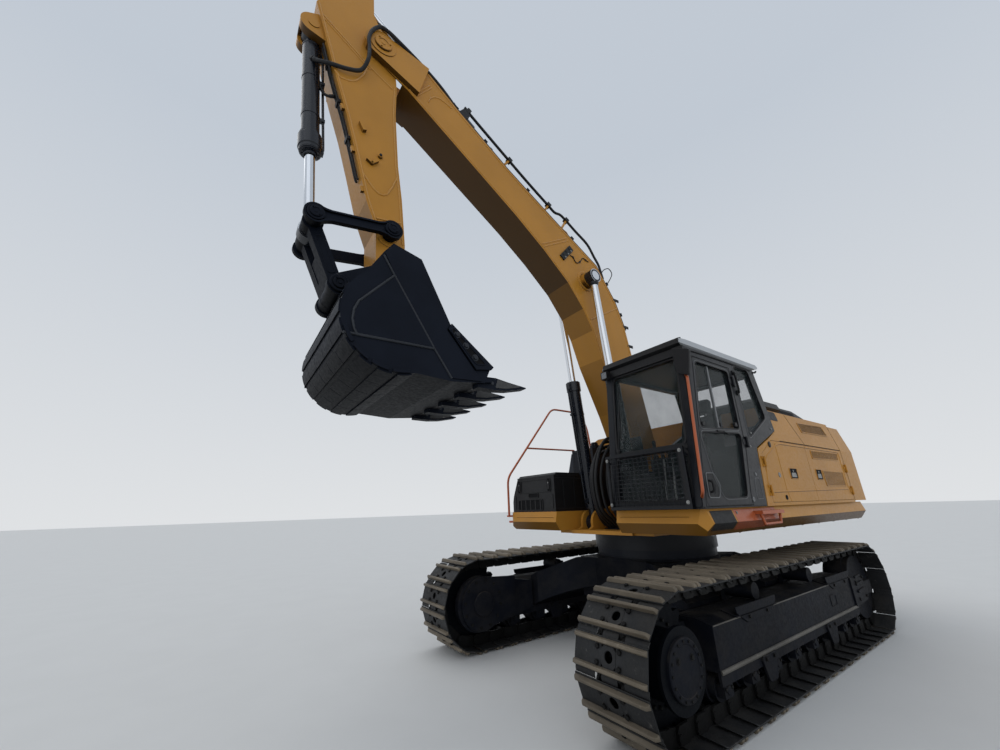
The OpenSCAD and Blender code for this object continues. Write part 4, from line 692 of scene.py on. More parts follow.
def undercarriage_details():
    half = 0.195
    bolts, plates, guides, caps, ledges_and_highlight = pieces(5)
    for s in (1, -1):
        y0 = s * GAUGE / 2
        face = y0 + s * half
        # Final drive: raised cover with bolts, two plugs and the sprocket's ring of bolts
        hub_face = y0 + s * 0.232
        caps.lathe((AXLE_X, hub_face, AXLE_Z), (0, s, 0), [(-0.004, 0.190), (0.018, 0.188), (0.024, 0.180),
                                                           (0.024, 0.150), (0.020, 0.146), (0.020, 0.001)],
                   72)
        bolts.ring_bolts((AXLE_X, hub_face + s * 0.023, AXLE_Z), (0, s, 0), 0.166, 16, 0.0085, 0.009)
        for a in (0.7, 2.5):
            at = (AXLE_X + 0.10 * math.cos(a), hub_face + s * 0.019, AXLE_Z + 0.10 * math.sin(a))
            bolts.bolt(at, (0, s, 0), 0.016, 0.012)
        bolts.ring_bolts((AXLE_X, y0 + s * 0.035, AXLE_Z), (0, s, 0), 0.258, 24, 0.013, 0.016, 0.1)
        # Rolled edge strip along the frame's side
        ledges_and_highlight.prism([(0.0, 0.346), (0.010, 0.350), (0.015, 0.362), (0.010, 0.376), (0.0, 0.380)], 1.52,
                     -1.52, lambda a, x, b, f=face, k=s: (x, f + k * a, b))
        # Bent step plates over the shoulder, above and beside the carrier brackets, each with two bolts
        for x0, x1 in ((0.45, 1.17), (-1.50, -0.78)):
            skirt = [(x0, 0.735), (x0 + 0.012, 0.690), (x0 + 0.16, 0.607), (x1 - 0.16, 0.607),
                     (x1 - 0.012, 0.690), (x1, 0.735)]
            plates.prism(skirt[::-1], face - s * 0.002, face + s * 0.009)
            plates.prism([(0.0, 0.662), (0.0, 0.672), (0.128, 0.704), (0.128, 0.690)], x0, x1,
                         lambda a, x, b, f=face, k=s: (x, f - k * a + k * 0.009, b))
            for x in (x0 + 0.20, x1 - 0.20):
                bolts.bolt((x, face + s * 0.008, 0.643), (0, s, 0), 0.013, 0.012)
        # Hand hole with its rim, and the grease fitting cover
        hole = soft_rect(-0.94, 0.465, -0.80, 0.555, 0.018)
        plates.rim(hole, 0.010, face - s * 0.001, face + s * 0.006)
        caps.prism(hole, face - s * 0.001, face + s * 0.0015)
        # Painted highlight: a pale strip along the box's shoulder
        ledges_and_highlight.tube([(x, face - s * 0.003, 0.658) for x in (-1.52, 1.52)], 0.006, 8, smooth=False)
        # Track guides under the frame
        for x in (0.79, -0.62):
            for k in (1, -1):
                f = y0 + k * (half + 0.006)
                plate = [(x - 0.115, 0.352), (x + 0.115, 0.352), (x + 0.125, 0.318), (x + 0.075, 0.178),
                         (x + 0.055, 0.165), (x - 0.055, 0.165), (x - 0.075, 0.178), (x - 0.125, 0.318)]
                guides.prism(plate, f - k * 0.010, f + k * 0.012)
                for bx in (-0.07, 0.07):
                    bolts.bolt((x + bx, f + k * 0.012, 0.325), (0, k, 0), 0.013, 0.012)
        # Bolts of the roller end blocks
        span = TUMBLER - 1.15
        for i in range(8):
            x = -span / 2 + i * span / 7
            for k in (1, -1):
                for bx in (-0.042, 0.042):
                    bolts.bolt((x + bx, y0 + k * 0.185, 0.255), (0, k, 0), 0.012, 0.010, washer=False)
                z = AXLE_Z - PIN_R + 0.056 + 0.088
                caps.cyl((x, y0 + k * 0.184, z), (x, y0 + k * 0.192, z), 0.030, 20, 0.003)
        # Ribs and bolts of the bent idler cover
        cover = face + s * 0.016
        for i in range(3):
            z = 0.50 + 0.075 * i
            guides.prism([(-1.84 + 0.03 * i, z), (-1.60, z - 0.012), (-1.60, z + 0.014),
                          (-1.84 + 0.03 * i, z + 0.026)], cover - s * 0.002, cover + s * 0.014)
        for x, z in ((-1.86, 0.43), (-1.86, 0.63), (-1.62, 0.60), (-1.62, 0.42)):
            bolts.bolt((x, cover - s * 0.001, z), (0, s, 0), 0.014, 0.012)
        # Motor cover inside the drive end
        inner = y0 - s * (half + 0.075 + 0.030)
        bolts.ring_bolts((AXLE_X - 0.03, inner, AXLE_Z), (0, -s, 0), 0.245, 12, 0.012, 0.012, 0.13, True)
        caps.stud((AXLE_X - 0.03, inner, AXLE_Z), (0, -s, 0), (-0.002, 0.016, 0.022), (0.13, 0.124), 36)
        # Idler hub caps
        for k in (1, -1):
            y = y0 + k * 0.137
            caps.cyl((-AXLE_X, y, AXLE_Z), (-AXLE_X, y + k * 0.006, AXLE_Z), 0.070, 32, 0.004)
    for c, s in circle(40):
        bolts.bolt((0.690 * c, 0.690 * s, 0.9695), Z_AXIS, 0.016, 0.018, washer=False)
    # Centre frame: weld lines, and the cover plate and its bolts under the belly
    caps.prism(soft_rect(-0.36, -0.30, 0.36, 0.30, 0.05), 0.0, 0.010, lambda a, h, b: (a, b, 0.480 - h))
    for s in (1, -1):
        for x in (-0.70, 0.70):
            plates.bead([(x, s * 0.622, 0.50), (x, s * 0.622, 0.92)], 0.006, 6, 0.02)
        for x in (-0.30, 0.0, 0.30):
            bolts.bolt((x, s * 0.255, 0.470), (0, 0, -1), 0.012, 0.010)
    bolts.done("undercarriage_bolts", CHAIN, "undercarriage", angle=30)
    plates.done("track_frame_plates", BASE, "undercarriage", 0.002, 2)
    guides.done("track_guides", BASE, "undercarriage", 0.004, 2)
    caps.done("undercarriage_caps", BASE, "undercarriage", 0.0015, 1)
    ledges_and_highlight.done("track_frame_ledges", LEDGE_DUST_AND_HIGHLIGHT, "undercarriage", 0.002, 2)


def ring_details():
    """Bolts of the swing ring's upper race."""
    bolts = Piece()
    for c, s in circle(36, math.pi / 36):
        bolts.bolt((0.738 * c, 0.738 * s, 1.222), (0, 0, -1), 0.015, 0.016, washer=False)
    bolts.done("race_bolts", CHAIN, "upper", angle=30)


# Cab: frames, seals, handles, roof edge, mirror and guard

CAB_Y = 1.46
DOOR_UPPER = [(0.944, 2.905), (0.290, 2.905), (0.310, 2.263), (1.075, 2.219)]
DOOR_LOWER = [(1.090, 2.165), (0.310, 2.210), (0.455, 1.581), (0.885, 1.579), (1.006, 1.783)]
REAR_SIDE = [(0.112, 3.005), (-0.215, 3.005), (-0.395, 2.455), (0.112, 2.192)]


FRONT_X, FRONT_Z, FRONT_HIGH, FRONT_LEAN = 1.290, 1.485, 1.560, 0.165


def cab_front(z):
    return FRONT_X - FRONT_LEAN * (z - FRONT_Z) / FRONT_HIGH


def on_front(y, lift, z):
    """Point on the cab's leaning front: y across, z up, lift proud of the face."""
    return (cab_front(z) + lift, y, z)


def side_window(seals, trims, outline, r):
    """Rubber seal with round corners and its pressed light edge, on the cab's left side."""
    soft = smooth_outline(outline, r, 6)
    seals.rim(soft, 0.016, CAB_Y - 0.006, CAB_Y + 0.005)
    trims.rim(grow(soft, 0.016), 0.006, CAB_Y - 0.004, CAB_Y + 0.0035)
    for fillet in corner_fillets(outline, r):
        seals.prism(fillet, CAB_Y - 0.046, CAB_Y + 0.003)


def cab_details():
    seals, trims, plates, black, bolts = pieces(5)
    seals_door, trims_door, black_door = pieces(3)
    # Windscreen seals: rubber in the openings' corners and a raised frame round them
    for z0, z1 in ((2.070, 2.925), (1.570, 2.010)):
        opening = rect(0.585, z0, 1.370, z1)
        seals.rim(smooth_outline(opening, 0.055, 6), 0.022, -0.010, 0.007, on_front)
        for fillet in corner_fillets(opening, 0.055):
            seals.prism(fillet, -0.046, 0.0045, on_front)
    # Pillar covers down both sides of the windscreen and the header strip over it
    for y0, y1 in ((0.483, 0.560), (1.395, 1.452)):
        plates.prism(soft_rect(y0, 1.50, y1, 2.99, 0.02), -0.002, 0.010, on_front)
    black.prism(soft_rect(0.480, 2.950, 1.455, 3.035, 0.02), -0.002, 0.026, on_front)
    black.prism(soft_rect(0.560, 2.018, 1.395, 2.060, 0.01), -0.002, 0.012, on_front)
    y = CAB_Y
    side_window(seals_door, trims_door, DOOR_UPPER, 0.05)
    side_window(seals_door, trims_door, DOOR_LOWER, 0.06)
    side_window(seals, trims, REAR_SIDE, 0.045)
    # Door: divider of the sliding pane, its latch, the sill strip's latch, handle recess and lock
    trims_door.prism([(0.690, 2.245), (0.714, 2.243), (0.702, 2.900), (0.678, 2.900)], y - 0.030, y - 0.010)
    black_door.prism(smooth_outline([(0.640, 2.262), (0.676, 2.260), (0.676, 2.300), (0.640, 2.302)], 0.008),
                     y - 0.022, y - 0.002)
    black_door.prism(smooth_outline([(0.335, 2.285), (0.385, 2.283), (0.385, 2.325), (0.335, 2.327)], 0.01),
                     y - 0.022, y + 0.004)
    black_door.prism(smooth_outline([(0.985, 2.236), (1.035, 2.233), (1.030, 2.275), (0.980, 2.278)], 0.01),
                     y - 0.022, y + 0.004)
    black_door.prism(smooth_outline([(0.655, 2.199), (0.795, 2.194), (0.795, 2.212), (0.655, 2.217)], 0.006),
                     y, y + 0.016)
    black_door.tube([(0.690, y + 0.010, 2.205), (0.665, y + 0.030, 2.185), (0.640, y + 0.030, 2.176)], 0.007,
                    10)
    recess = smooth_outline([(1.150, 1.787), (1.021, 1.790), (0.945, 1.690), (0.992, 1.580), (1.158, 1.582)],
                            0.018, 5)
    trims_door.rim(recess, 0.007, y - 0.002, y + 0.006)
    black_door.prism(recess, y - 0.002, y + 0.0012)
    black_door.rim(smooth_outline([(1.135, 1.735), (1.060, 1.738), (1.020, 1.680), (1.050, 1.610),
                                   (1.140, 1.612)], 0.016, 5), 0.010, y - 0.001, y + 0.004)
    black_door.tube([(1.118, y, 1.725), (1.114, y + 0.026, 1.712), (1.110, y + 0.030, 1.675),
                     (1.112, y + 0.026, 1.636), (1.116, y, 1.622)], 0.010, 12)
    trims_door.lathe((0.345, y, 1.554), Y_AXIS, [(-0.002, 0.024), (0.004, 0.024), (0.006, 0.021),
                                                 (0.006, 0.015), (0.002, 0.013), (0.002, 0.001)], 24)
    # Shut line round the door
    black_door.rim(smooth_outline([(1.213, 1.512), (1.060, 2.948), (0.243, 2.948), (0.262, 2.073),
                                   (0.382, 1.602), (0.382, 1.512)], [0.05, 0.06, 0.06, 0.03, 0.03, 0.05], 4),
                   0.006, y - 0.003, y + 0.0016)
    # Grab handle on the rear pillar, and its bases
    black.tube([(0.165, y, 2.915), (0.163, y + 0.020, 2.905), (0.158, y + 0.024, 2.800),
                (0.152, y + 0.021, 2.690), (0.150, y, 2.680)], 0.010, 12)
    for z in (2.915, 2.680):
        black.prism(soft_rect(0.140, z - 0.028, 0.180, z + 0.028, 0.012),
                    y - 0.001, y + 0.012)
    # Rain gutter over the door and its tail hook
    black.tube([(1.100, y + 0.004, 3.010), (0.700, y + 0.006, 3.022), (0.100, y + 0.006, 3.026),
                (-0.300, y + 0.004, 3.022)], 0.009, 10)
    black.tube([(-0.375, y - 0.01, 3.020), (-0.400, y + 0.012, 3.012), (-0.420, y + 0.018, 3.030)], 0.010, 10)
    # Low body strip, inspection panel and the dark sill under the door
    black.box((0.10, y - 0.002, 1.487), (1.27, y + 0.005, 1.500))
    trims.rim(smooth_outline([(0.120, 1.760), (0.215, 1.760), (0.245, 1.640), (0.245, 1.560), (0.120, 1.560)],
                             0.02, 4), 0.004, y - 0.002, y + 0.003)
    trims.stud((0.175, y, 1.800), Y_AXIS, (-0.002, 0.004, 0.005), (0.018, 0.015), 20)
    for x, z in ((0.145, 2.090), (0.060, 2.240), (-0.480, 2.330)):
        bolts.bolt((x, y, z), Y_AXIS, 0.009, 0.007)
    # Roof's front strip
    black.prism([(1.138, 3.041), (1.181, 3.064), (1.171, 3.121), (1.118, 3.139), (1.114, 3.128),
                 (1.150, 3.105), (1.160, 3.070), (1.130, 3.046)], 0.480, 1.458)
    # Wiper with its arm and blade, parked upright beside the right edge of the windscreen
    black.tube([on_front(0.610, 0.020, 2.085), on_front(0.640, 0.034, 2.30), on_front(0.655, 0.030, 2.52)],
               0.008, 8)
    black.tube([on_front(0.652, 0.014, 2.22), on_front(0.655, 0.018, 2.52), on_front(0.652, 0.014, 2.82)],
               0.006, 8)
    black.lathe(on_front(0.610, 0.0, 2.085), X_AXIS, [(0, 0.022), (0.022, 0.020), (0.026, 0.001)], 18)
    seals.done("cab_window_seals", RUBBER, "upper", 0.0015, 1)
    trims.done("cab_window_trims", TRIM, "upper", 0.001, 1)
    plates.done("cab_pillar_covers", CAB, "upper", 0.004, 2)
    black.done("cab_black_fittings", BLACK, "upper", 0.0015, 2)
    bolts.done("cab_bolts", STEEL, "upper", angle=30)
    seals_door.done("door_window_seals", RUBBER, "cab_door", 0.0015, 1)
    trims_door.done("door_window_trims", TRIM, "cab_door", 0.001, 1)
    black_door.done("door_fittings", BLACK, "cab_door", 0.0015, 2)


def mirror_details():
    """Wedge mirror at the cab's left front corner with its arm, and a work lamp's lens at the right one."""
    shell, glass, lens = pieces(3)
    rows = [(1.174, 0.72), (1.190, 0.96), (1.215, 1.0), (1.228, 0.97)]
    face = smooth_outline([(1.400, 3.010), (1.577, 2.950), (1.526, 2.692), (1.408, 2.738)], 0.022, 5)
    cy, cz = 1.478, 2.850
    shell.skin([[(x, cy + (a - cy) * k, cz + (b - cz) * k) for a, b in face] for x, k in rows])
    back = [(cy + (a - cy) * 0.66, cz + (b - cz) * 0.66) for a, b in face]
    glass.prism(back, 1.170, 1.176, facing_x)
    shell.tube([(1.125, 1.440, 2.985), (1.150, 1.470, 3.010), (1.185, 1.480, 2.985)], 0.012, 12)
    shell.lathe((1.115, 1.437, 2.978), (0.040, 0.015, 0.020), [(0, 0.026), (0.02, 0.024), (0.026, 0.015)], 18)
    # Lamp at the right corner: bezel and ribbed lens
    x = 1.227
    bezel = soft_rect(0.488, 2.942, 0.562, 3.018, 0.012)
    lens.prism(bezel, x - 0.002, x + 0.004, facing_x)
    shell.rim(bezel, 0.007, x - 0.004, x + 0.007, facing_x)
    shell.done("mirror_shell", BLACK, "upper", 0.006, 3)
    glass.done("mirror_glass", CHROME, "upper")
    lens.done("lamp_lens", LENS, "upper", 0.001, 1)


RAIL_Y = -1.420
COVER_Z = 2.380


def rail_details():
    """Bent tube rails on their feet, in place of the plain bars."""
    rails = Piece()
    tall = [(1.266, 1.440), (1.270, 1.960), (0.302, 3.115), (-0.380, 3.115), (-0.520, 2.840),
            (-0.575, COVER_Z)]
    middle = [(0.880, 2.422), (-0.150, 2.440), (-0.150, COVER_Z)]
    for line, bent, r in ((tall, 0.10, 0.0155), (middle, 0.06, 0.0135)):
        rails.tube(bend_path([(x, RAIL_Y, z) for x, z in line], bent), r, 14, smooth=False)
    grab = [on_front(y, lift, z) for y, lift, z in ((1.445, -0.020, 1.575), (1.495, 0.040, 1.620),
                                                    (1.495, 0.040, 2.690), (1.445, -0.020, 2.735))]
    rails.tube(bend_path(grab, 0.05), 0.0135, 14, smooth=False)
    rails.box((1.170, RAIL_Y - 0.022, 1.425), (1.290, RAIL_Y + 0.022, 1.447))
    for x in (-0.575, -0.150):
        rails.cyl((x, RAIL_Y, COVER_Z), (x, RAIL_Y, COVER_Z + 0.008), 0.034, 20, 0.002)
    rails.done("handrail_tubes", ORANGE, "upper", replaces=("handrails",))


def guard_details():
    """Side plates, top and bottom bars and corner bolts of the front guard."""
    plate, bolts = pieces(2)
    x = 1.315
    plate.box((x - 0.006, 1.330, 1.488), (x + 0.010, 1.387, 2.034))
    plate.box((x - 0.006, 0.490, 1.488), (x + 0.010, 0.520, 2.034))
    plate.box((x - 0.006, 0.520, 2.008), (x + 0.008, 1.330, 2.034))
    plate.box((x - 0.006, 0.520, 1.488), (x + 0.008, 1.330, 1.520))
    for y, z in ((1.352, 2.000), (1.352, 1.545), (0.505, 1.990), (0.505, 1.540)):
        bolts.bolt((x + 0.010, y, z), X_AXIS, 0.012, 0.010)
    plate.done("guard_plates", BLACK, "upper", 0.002, 1)
    bolts.done("guard_bolts", STEEL, "upper", angle=30)


# Engine house, doors, counterweight and skirts

HOUSE_Y = 1.46
LEAN_Z, LEAN_HIGH, LEAN_IN = 2.200, 0.400, 0.08
PRESS = [(-0.148, 1.625), (-0.046, 1.632), (-0.136, 1.979), (-0.550, 2.166), (-2.560, 2.166), (-2.560, 1.660),
         (-1.40, 1.632)]


def louvre(piece, back, corners, slats, place):
    """Grille on a four-cornered panel: low front, high front, high rear, low rear, each (x, z)."""
    inner = grow(corners, -0.012)
    piece.band(smooth_outline(corners, 0.02, 3), smooth_outline(inner, 0.014, 3), -0.001, 0.006, place)
    # Painted shade: a near-black sheet behind the slats
    back.prism(smooth_outline(grow(corners, -0.010), 0.016, 3), -0.002, 0.0006, place)
    n = unit2(inner[0], inner[1])
    half = 0.36 * math.dist(inner[0], inner[1]) / slats
    for i in range(slats):
        t = (i + 0.5) / slats
        a, b = lerp(inner[0], inner[1], t), lerp(inner[3], inner[2], t)
        slat = [shift(a, n, -half), shift(a, n, half), shift(b, n, half), shift(b, n, -half)]
        # Each slat leans: its low edge stands 5 mm prouder than its high edge
        verts = [place(p[0], lift - sunk, p[1]) for sunk in (0.0, 0.002)
                 for p, lift in zip(slat, (0.0055, 0.0005, 0.0005, 0.0055))]
        piece.add(verts, [[0, 1, 2, 3], [7, 6, 5, 4], [0, 4, 5, 1], [1, 5, 6, 2], [2, 6, 7, 3], [3, 7, 4, 0]])


def on_side(s):
    """Plane of the house's upright side on side s: lift is proud of it."""
    return lambda a, lift, b: (a, s * (HOUSE_Y + lift), b)


def on_lean(s):
    """Plane of the leaning upper side."""
    n = unit2((0.0, 0.0), (LEAN_HIGH, LEAN_IN))

    def place(a, lift, b):
        t = (b - LEAN_Z) / LEAN_HIGH
        return (a, s * (HOUSE_Y - LEAN_IN * t + lift * n[0]), b + lift * n[1])
    return place


def latch(frame_piece, dark, metal, x0, x1, z0, z1, s):
    """Sunk paddle latch: a near-black sheet painted as the pocket's shade, rim and a handle with a round
    lock.
    """
    place = on_side(s)
    outline = soft_rect(x0, z0, x1, z1, 0.016)
    dark.prism(outline, 0.0, 0.0012, place)
    frame_piece.rim(outline, 0.008, -0.001, 0.006, place)
    w, h = x1 - x0, z1 - z0
    metal.prism(smooth_outline([(x0 + w * 0.15, z0 + h * 0.12), (x1 - w * 0.15, z0 + h * 0.12),
                                (x1 - w * 0.22, z0 + h * 0.58), (x0 + w * 0.22, z0 + h * 0.58)], 0.012, 4),
                0.001, 0.0048, place)
    a = place((x0 + x1) / 2, 0.001, z0 + h * 0.78)
    metal.lathe(a, (0, s, 0), [(0, 0.013), (0.0035, 0.012), (0.0035, 0.004), (0.001, 0.001)], 18)


def house_details():
    seam = -1.350
    soft_press = smooth_outline(PRESS[:6], [0.03, 0.06, 0.10, 0.10, 0.05, 0.04], 5)
    front_field = split_at(soft_press, seam + 0.008, True)
    rear_field = split_at(soft_press, seam - 0.008, False)
    for field, name in ((front_field, "side_door_front"), (rear_field, "side_door_rear")):
        panel, dark, metal = pieces(3)
        # Border strips: a bead with a sloped inner side along the field's outline, open at the seam
        path = [p for p in field if abs(p[0] - seam) > 0.009]
        start = field.index(path[0])
        ring = field[start:] + field[:start]
        ends = [i for i, p in enumerate(ring) if abs(p[0] - seam) <= 0.009]
        ring = ring[ends[-1]:] + ring[:ends[0] + 1] if ends[-1] - ends[0] == 1 else ring
        panel.sweep(ring, 0.011, 0.0055, on_side(1))
        if name == "side_door_front":
            latch(panel, dark, metal, -0.900, -0.700, 1.775, 1.885, 1)
            metal.lathe((-0.400, HOUSE_Y, 1.806), Y_AXIS, [(-0.002, 0.028), (0.004, 0.028), (0.006, 0.024),
                                                           (0.006, 0.018), (0.002, 0.015), (0.002, 0.001)],
                        24)
            dark.stud((-0.441, HOUSE_Y, 1.566), Y_AXIS, (-0.002, 0.005, 0.007), (0.026, 0.020), 20)
            # Upright fold of the field near the cab
            panel.sweep([(-0.555, 1.520), (-0.500, 1.640), (-0.480, 2.160)], 0.008, 0.0035, on_side(1))
        else:
            latch(panel, dark, metal, -1.690, -1.510, 1.775, 1.895, 1)
            louvre(panel, dark, [(-1.510, 2.028), (-1.505, 2.140), (-2.500, 2.150), (-2.470, 2.040)], 7,
                   on_side(1))
            louvre(panel, dark, [(-1.760, 1.690), (-1.735, 1.890), (-2.495, 1.890), (-2.495, 1.690)], 12,
                   on_side(1))
        panel.done(name + "_pressings", PAINT, name, 0.001, 1)
        dark.done(name + "_pockets", BLACK_AND_RECESS_SHADE, name)
        metal.done(name + "_latch", STEEL, name, 0.001, 1)
    # Right door: pressed field, louvres and latch
    panel, dark, metal = pieces(3)
    field = smooth_outline([(-1.140, 1.600), (-1.140, 2.140), (-2.600, 2.140), (-2.600, 1.600)], 0.05, 5)
    panel.sweep(field + field[:1], 0.011, 0.0055, on_side(-1))
    louvre(panel, dark, [(-1.560, 1.690), (-1.560, 2.080), (-2.480, 2.080), (-2.480, 1.690)], 20, on_side(-1))
    latch(panel, dark, metal, -1.400, -1.220, 1.775, 1.895, -1)
    panel.done("side_door_right_pressings", PAINT, "side_door_right", 0.001, 1)
    dark.done("side_door_right_pockets", BLACK_AND_RECESS_SHADE, "side_door_right")
    metal.done("side_door_right_latch", STEEL, "side_door_right", 0.001, 1)
    # House shell: upper louvres, seams, plugs and the intake's opening
    panel, dark, black = pieces(3)
    for s in (1, -1):
        louvre(panel, dark, [(-1.510, 2.375), (-1.500, 2.515), (-2.400, 2.545), (-2.470, 2.390)], 8,
               on_lean(s))
        dark.box((-2.694, 0.0, 1.500), (-2.686, 0.0012, 2.197), on_side(s))
        dark.box((-2.694, 0.0, 2.203), (-2.686, 0.0012, 2.600), on_lean(s))
        dark.prism([(-0.640, 2.196), (-2.686, 2.196), (-2.686, 2.204), (-0.640, 2.204)][::-1], -0.001, 0.0012,
                   on_side(s))
    dark.prism([(-1.386, 2.205), (-1.378, 2.205), (-1.190, 2.590), (-1.198, 2.590)], 0.0, 0.0012, on_lean(1))
    black.stud((-0.330, HOUSE_Y, 2.140), Y_AXIS, (-0.002, 0.005, 0.008), (0.034, 0.028), 24)
    black.prism(smooth_outline([(-0.650, 2.470), (-0.650, 2.590), (-0.900, 2.590), (-0.900, 2.470)], 0.03, 4),
                0.0, 0.004, on_lean(1))
    # Top of the house: louvre fields beside the hood
    for y in (1.32, -1.32):
        for i in range(9):
            x = -1.60 - i * 0.085
            black.prism(soft_rect(x - 0.026, y - 0.028, x + 0.026, y + 0.028, 0.02, 3),
                        0.0, 0.002, lambda a, h, b: (a, b, 2.6405 + h - max(0, abs(b) - 1.28) * 0.4))
    panel.done("house_louvres", PAINT, "upper", 0.001, 1)
    dark.done("house_seams", BLACK_AND_RECESS_SHADE, "upper")
    black.done("house_plugs", BLACK, "upper", 0.001, 1)


def hood_details():
    """Ribs, grille slots and handle of the engine hood, and the intake's grille."""
    p, g = pieces(2)
    top = 2.790
    for i in range(7):
        y = -0.9 + 0.3 * i
        p.prism(soft_rect(-1.56, y - 0.028, -2.02, y + 0.028, 0.027, 5),
                0.0, 0.007, lambda a, h, b: (a, b, top - 0.001 + h))
    # Painted shade: each grille slot is a near-black sheet
    for s in (1, -1):
        for i in range(10):
            x = -1.55 - 0.055 * i
            g.prism(soft_rect(x - 0.018, 2.685, x + 0.018, 2.750, 0.015, 3),
                    -0.001, 0.0015, lambda a, h, b, k=s: (a, k * (1.235 - (b - 2.655) * 0.42 + h), b))
    p.tube([(-2.405, -0.12, 2.662), (-2.410, -0.12, 2.690), (-2.410, 0.12, 2.690), (-2.405, 0.12, 2.662)],
           0.009, 10)
    p.done("hood_ribs", BLACK, "engine_hood", 0.002, 2)
    g.done("hood_slots", BLACK_AND_RECESS_SHADE, "engine_hood")
    b, d = pieces(2)
    # Painted shade: near-black slats for the shade inside the intake
    for i in range(8):
        z = 2.662 + 0.014 * i
        d.box((-0.738, 0.66, z), (-0.7185 - (0.009 * i if i > 4 else 0), 1.21, z + 0.006))
    b.lathe((-1.0, 0.80, 2.787), Z_AXIS, [(0, 0.13), (0.012, 0.13), (0.018, 0.124), (0.018, 0.07),
                                          (0.024, 0.066), (0.024, 0.001)], 40)
    b.prism(soft_rect(-1.30, 1.05, -0.76, 1.22, 0.05, 5), 0.0, 0.006, lambda a, h, c: (a, c, 2.789 + h))
    b.done("intake_cap", BLACK, "upper", 0.002, 2)
    d.done("intake_slats", BLACK_AND_RECESS_SHADE, "upper")


TAIL_R = 3.5
TAIL = [(1.32, -3.33), (1.70, -3.49), (2.15, -3.50), (2.42, -3.43), (2.63, -3.15)]


def weight_details():
    """Counterweight: cast seam line, middle panel, lamps and plugs."""
    b, lamps, r = pieces(3)

    def rear(y, z):
        """x of the counterweight's round back, from its (z, x) profile."""
        (z0, x0), (z1, x1) = next((p, q) for p, q in zip(TAIL, TAIL[1:]) if z <= q[0] or q is TAIL[-1])
        return max(x0 + (z - z0) / (z1 - z0) * (x1 - x0), -math.sqrt(TAIL_R ** 2 - y * y))

    def on_rear(s):
        return lambda a, h, c: (rear(a, c) - h, s * a, c)
    lamp = grow(soft_rect(1.10, 1.92, 1.30, 2.04, 0.02), -0.012)
    for s in (1, -1):
        # Tail lamp sunk near each corner, and two plugs
        lamps.prism(lamp, 0.0, 0.008, on_rear(s))
        b.rim(lamp, 0.014, -0.004, 0.012, on_rear(s))
        for z in (1.55, 1.78):
            b.stud((rear(0.55, z), s * 0.55, z), (-1, s * 0.55 / 7, 0), (-0.01, 0.004, 0.007), (0.045, 0.038),
                   28)
    # Low seam all round, and the edge of the middle panel
    low = 1.62
    across = [-1.40 + 2.80 * i / 40 for i in range(41)]
    r.tube([(rear(y, low) - 0.001, y, low) for y in across], 0.006, 8, smooth=False)
    outline = soft_rect(-0.42, 2.02, 0.42, 2.30, 0.04, 5)
    r.sweep(outline + outline[:1], 0.012, 0.006, on_rear(1))
    b.done("weight_plugs", BLACK, "upper", 0.001, 1)
    lamps.done("tail_lamps", RED_LENS, "upper", 0.002, 1)
    r.done("weight_seams", PAINT, "upper")


EDGE_Y, EDGE_Z = 1.465, 1.362


def skirt_details():
    """Blank plate, orange field, seams and bolts of the side skirts."""
    def on_skirt(s):
        """The skirt leans in on both sides of its edge."""
        def place(a, lift, b):
            if b >= EDGE_Z:
                y = EDGE_Y - 0.040 * (b - EDGE_Z) / 0.123
            else:
                y = EDGE_Y - 0.085 * (EDGE_Z - b) / 0.100
            return (a, s * (y + lift), b)
        return place
    left = on_skirt(1)
    plate, orange, bolts, seam, folds = pieces(5)

    def panel(piece, x0, x1, z0, z1, lift):
        """Thin plate that bends over the skirt's edge."""
        verts = [left(x, h, z) for z in (z0, EDGE_Z, z1) for x in (x0, x1) for h in (-0.0015, lift)]
        faces = []
        for a in (0, 4):
            faces += [[a, a + 1, a + 5, a + 4], [a + 2, a + 6, a + 7, a + 3], [a + 1, a + 3, a + 7, a + 5],
                      [a, a + 4, a + 6, a + 2]]
        piece.add(verts, faces + [[0, 2, 3, 1], [8, 9, 11, 10]])
    panel(plate, 0.775, 1.160, 1.300, 1.466, 0.0028)
    panel(orange, -0.130, 0.750, 1.292, 1.472, 0.0020)
    for x in (-0.06, 0.70):
        bolts.bolt(left(x, 0.002, 1.440), (0, 1, 0.3), 0.010, 0.008)
    seam.box((-0.134, -0.001, 1.270), (-0.130, 0.001, 1.480), left)
    for s in (1, -1):
        for x in (-0.75, -1.60, -2.45):
            seam.box((x - 0.002, -0.001, 1.268), (x + 0.002, 0.0008, 1.482), on_skirt(s))
        for i in range(9):
            x = 1.05 - 0.5 * i
            bolts.bolt((x, s * 1.36, 1.2625), (0, 0, -1), 0.011, 0.008)
    # Press fold on each front face
    for s in (1, -1):
        folds.sweep([(s * 0.52, 1.420), (s * 1.28, 1.420)], 0.006, 0.004,
                    lambda a, h, b: (1.2375 - (b - EDGE_Z) * 0.04 + h, a, b))
    plate.done("blank_number_plate", BLACK, "upper", 0.001, 1)
    orange.done("orange_skirt_panel", ORANGE, "upper", 0.001, 1)
    bolts.done("skirt_bolts", STEEL, "upper", angle=30)
    seam.done("skirt_seams", BLACK_AND_RECESS_SHADE, "upper")
    folds.done("skirt_folds", PAINT, "upper")


# Right front: tool box, tank, hoses and frame ears

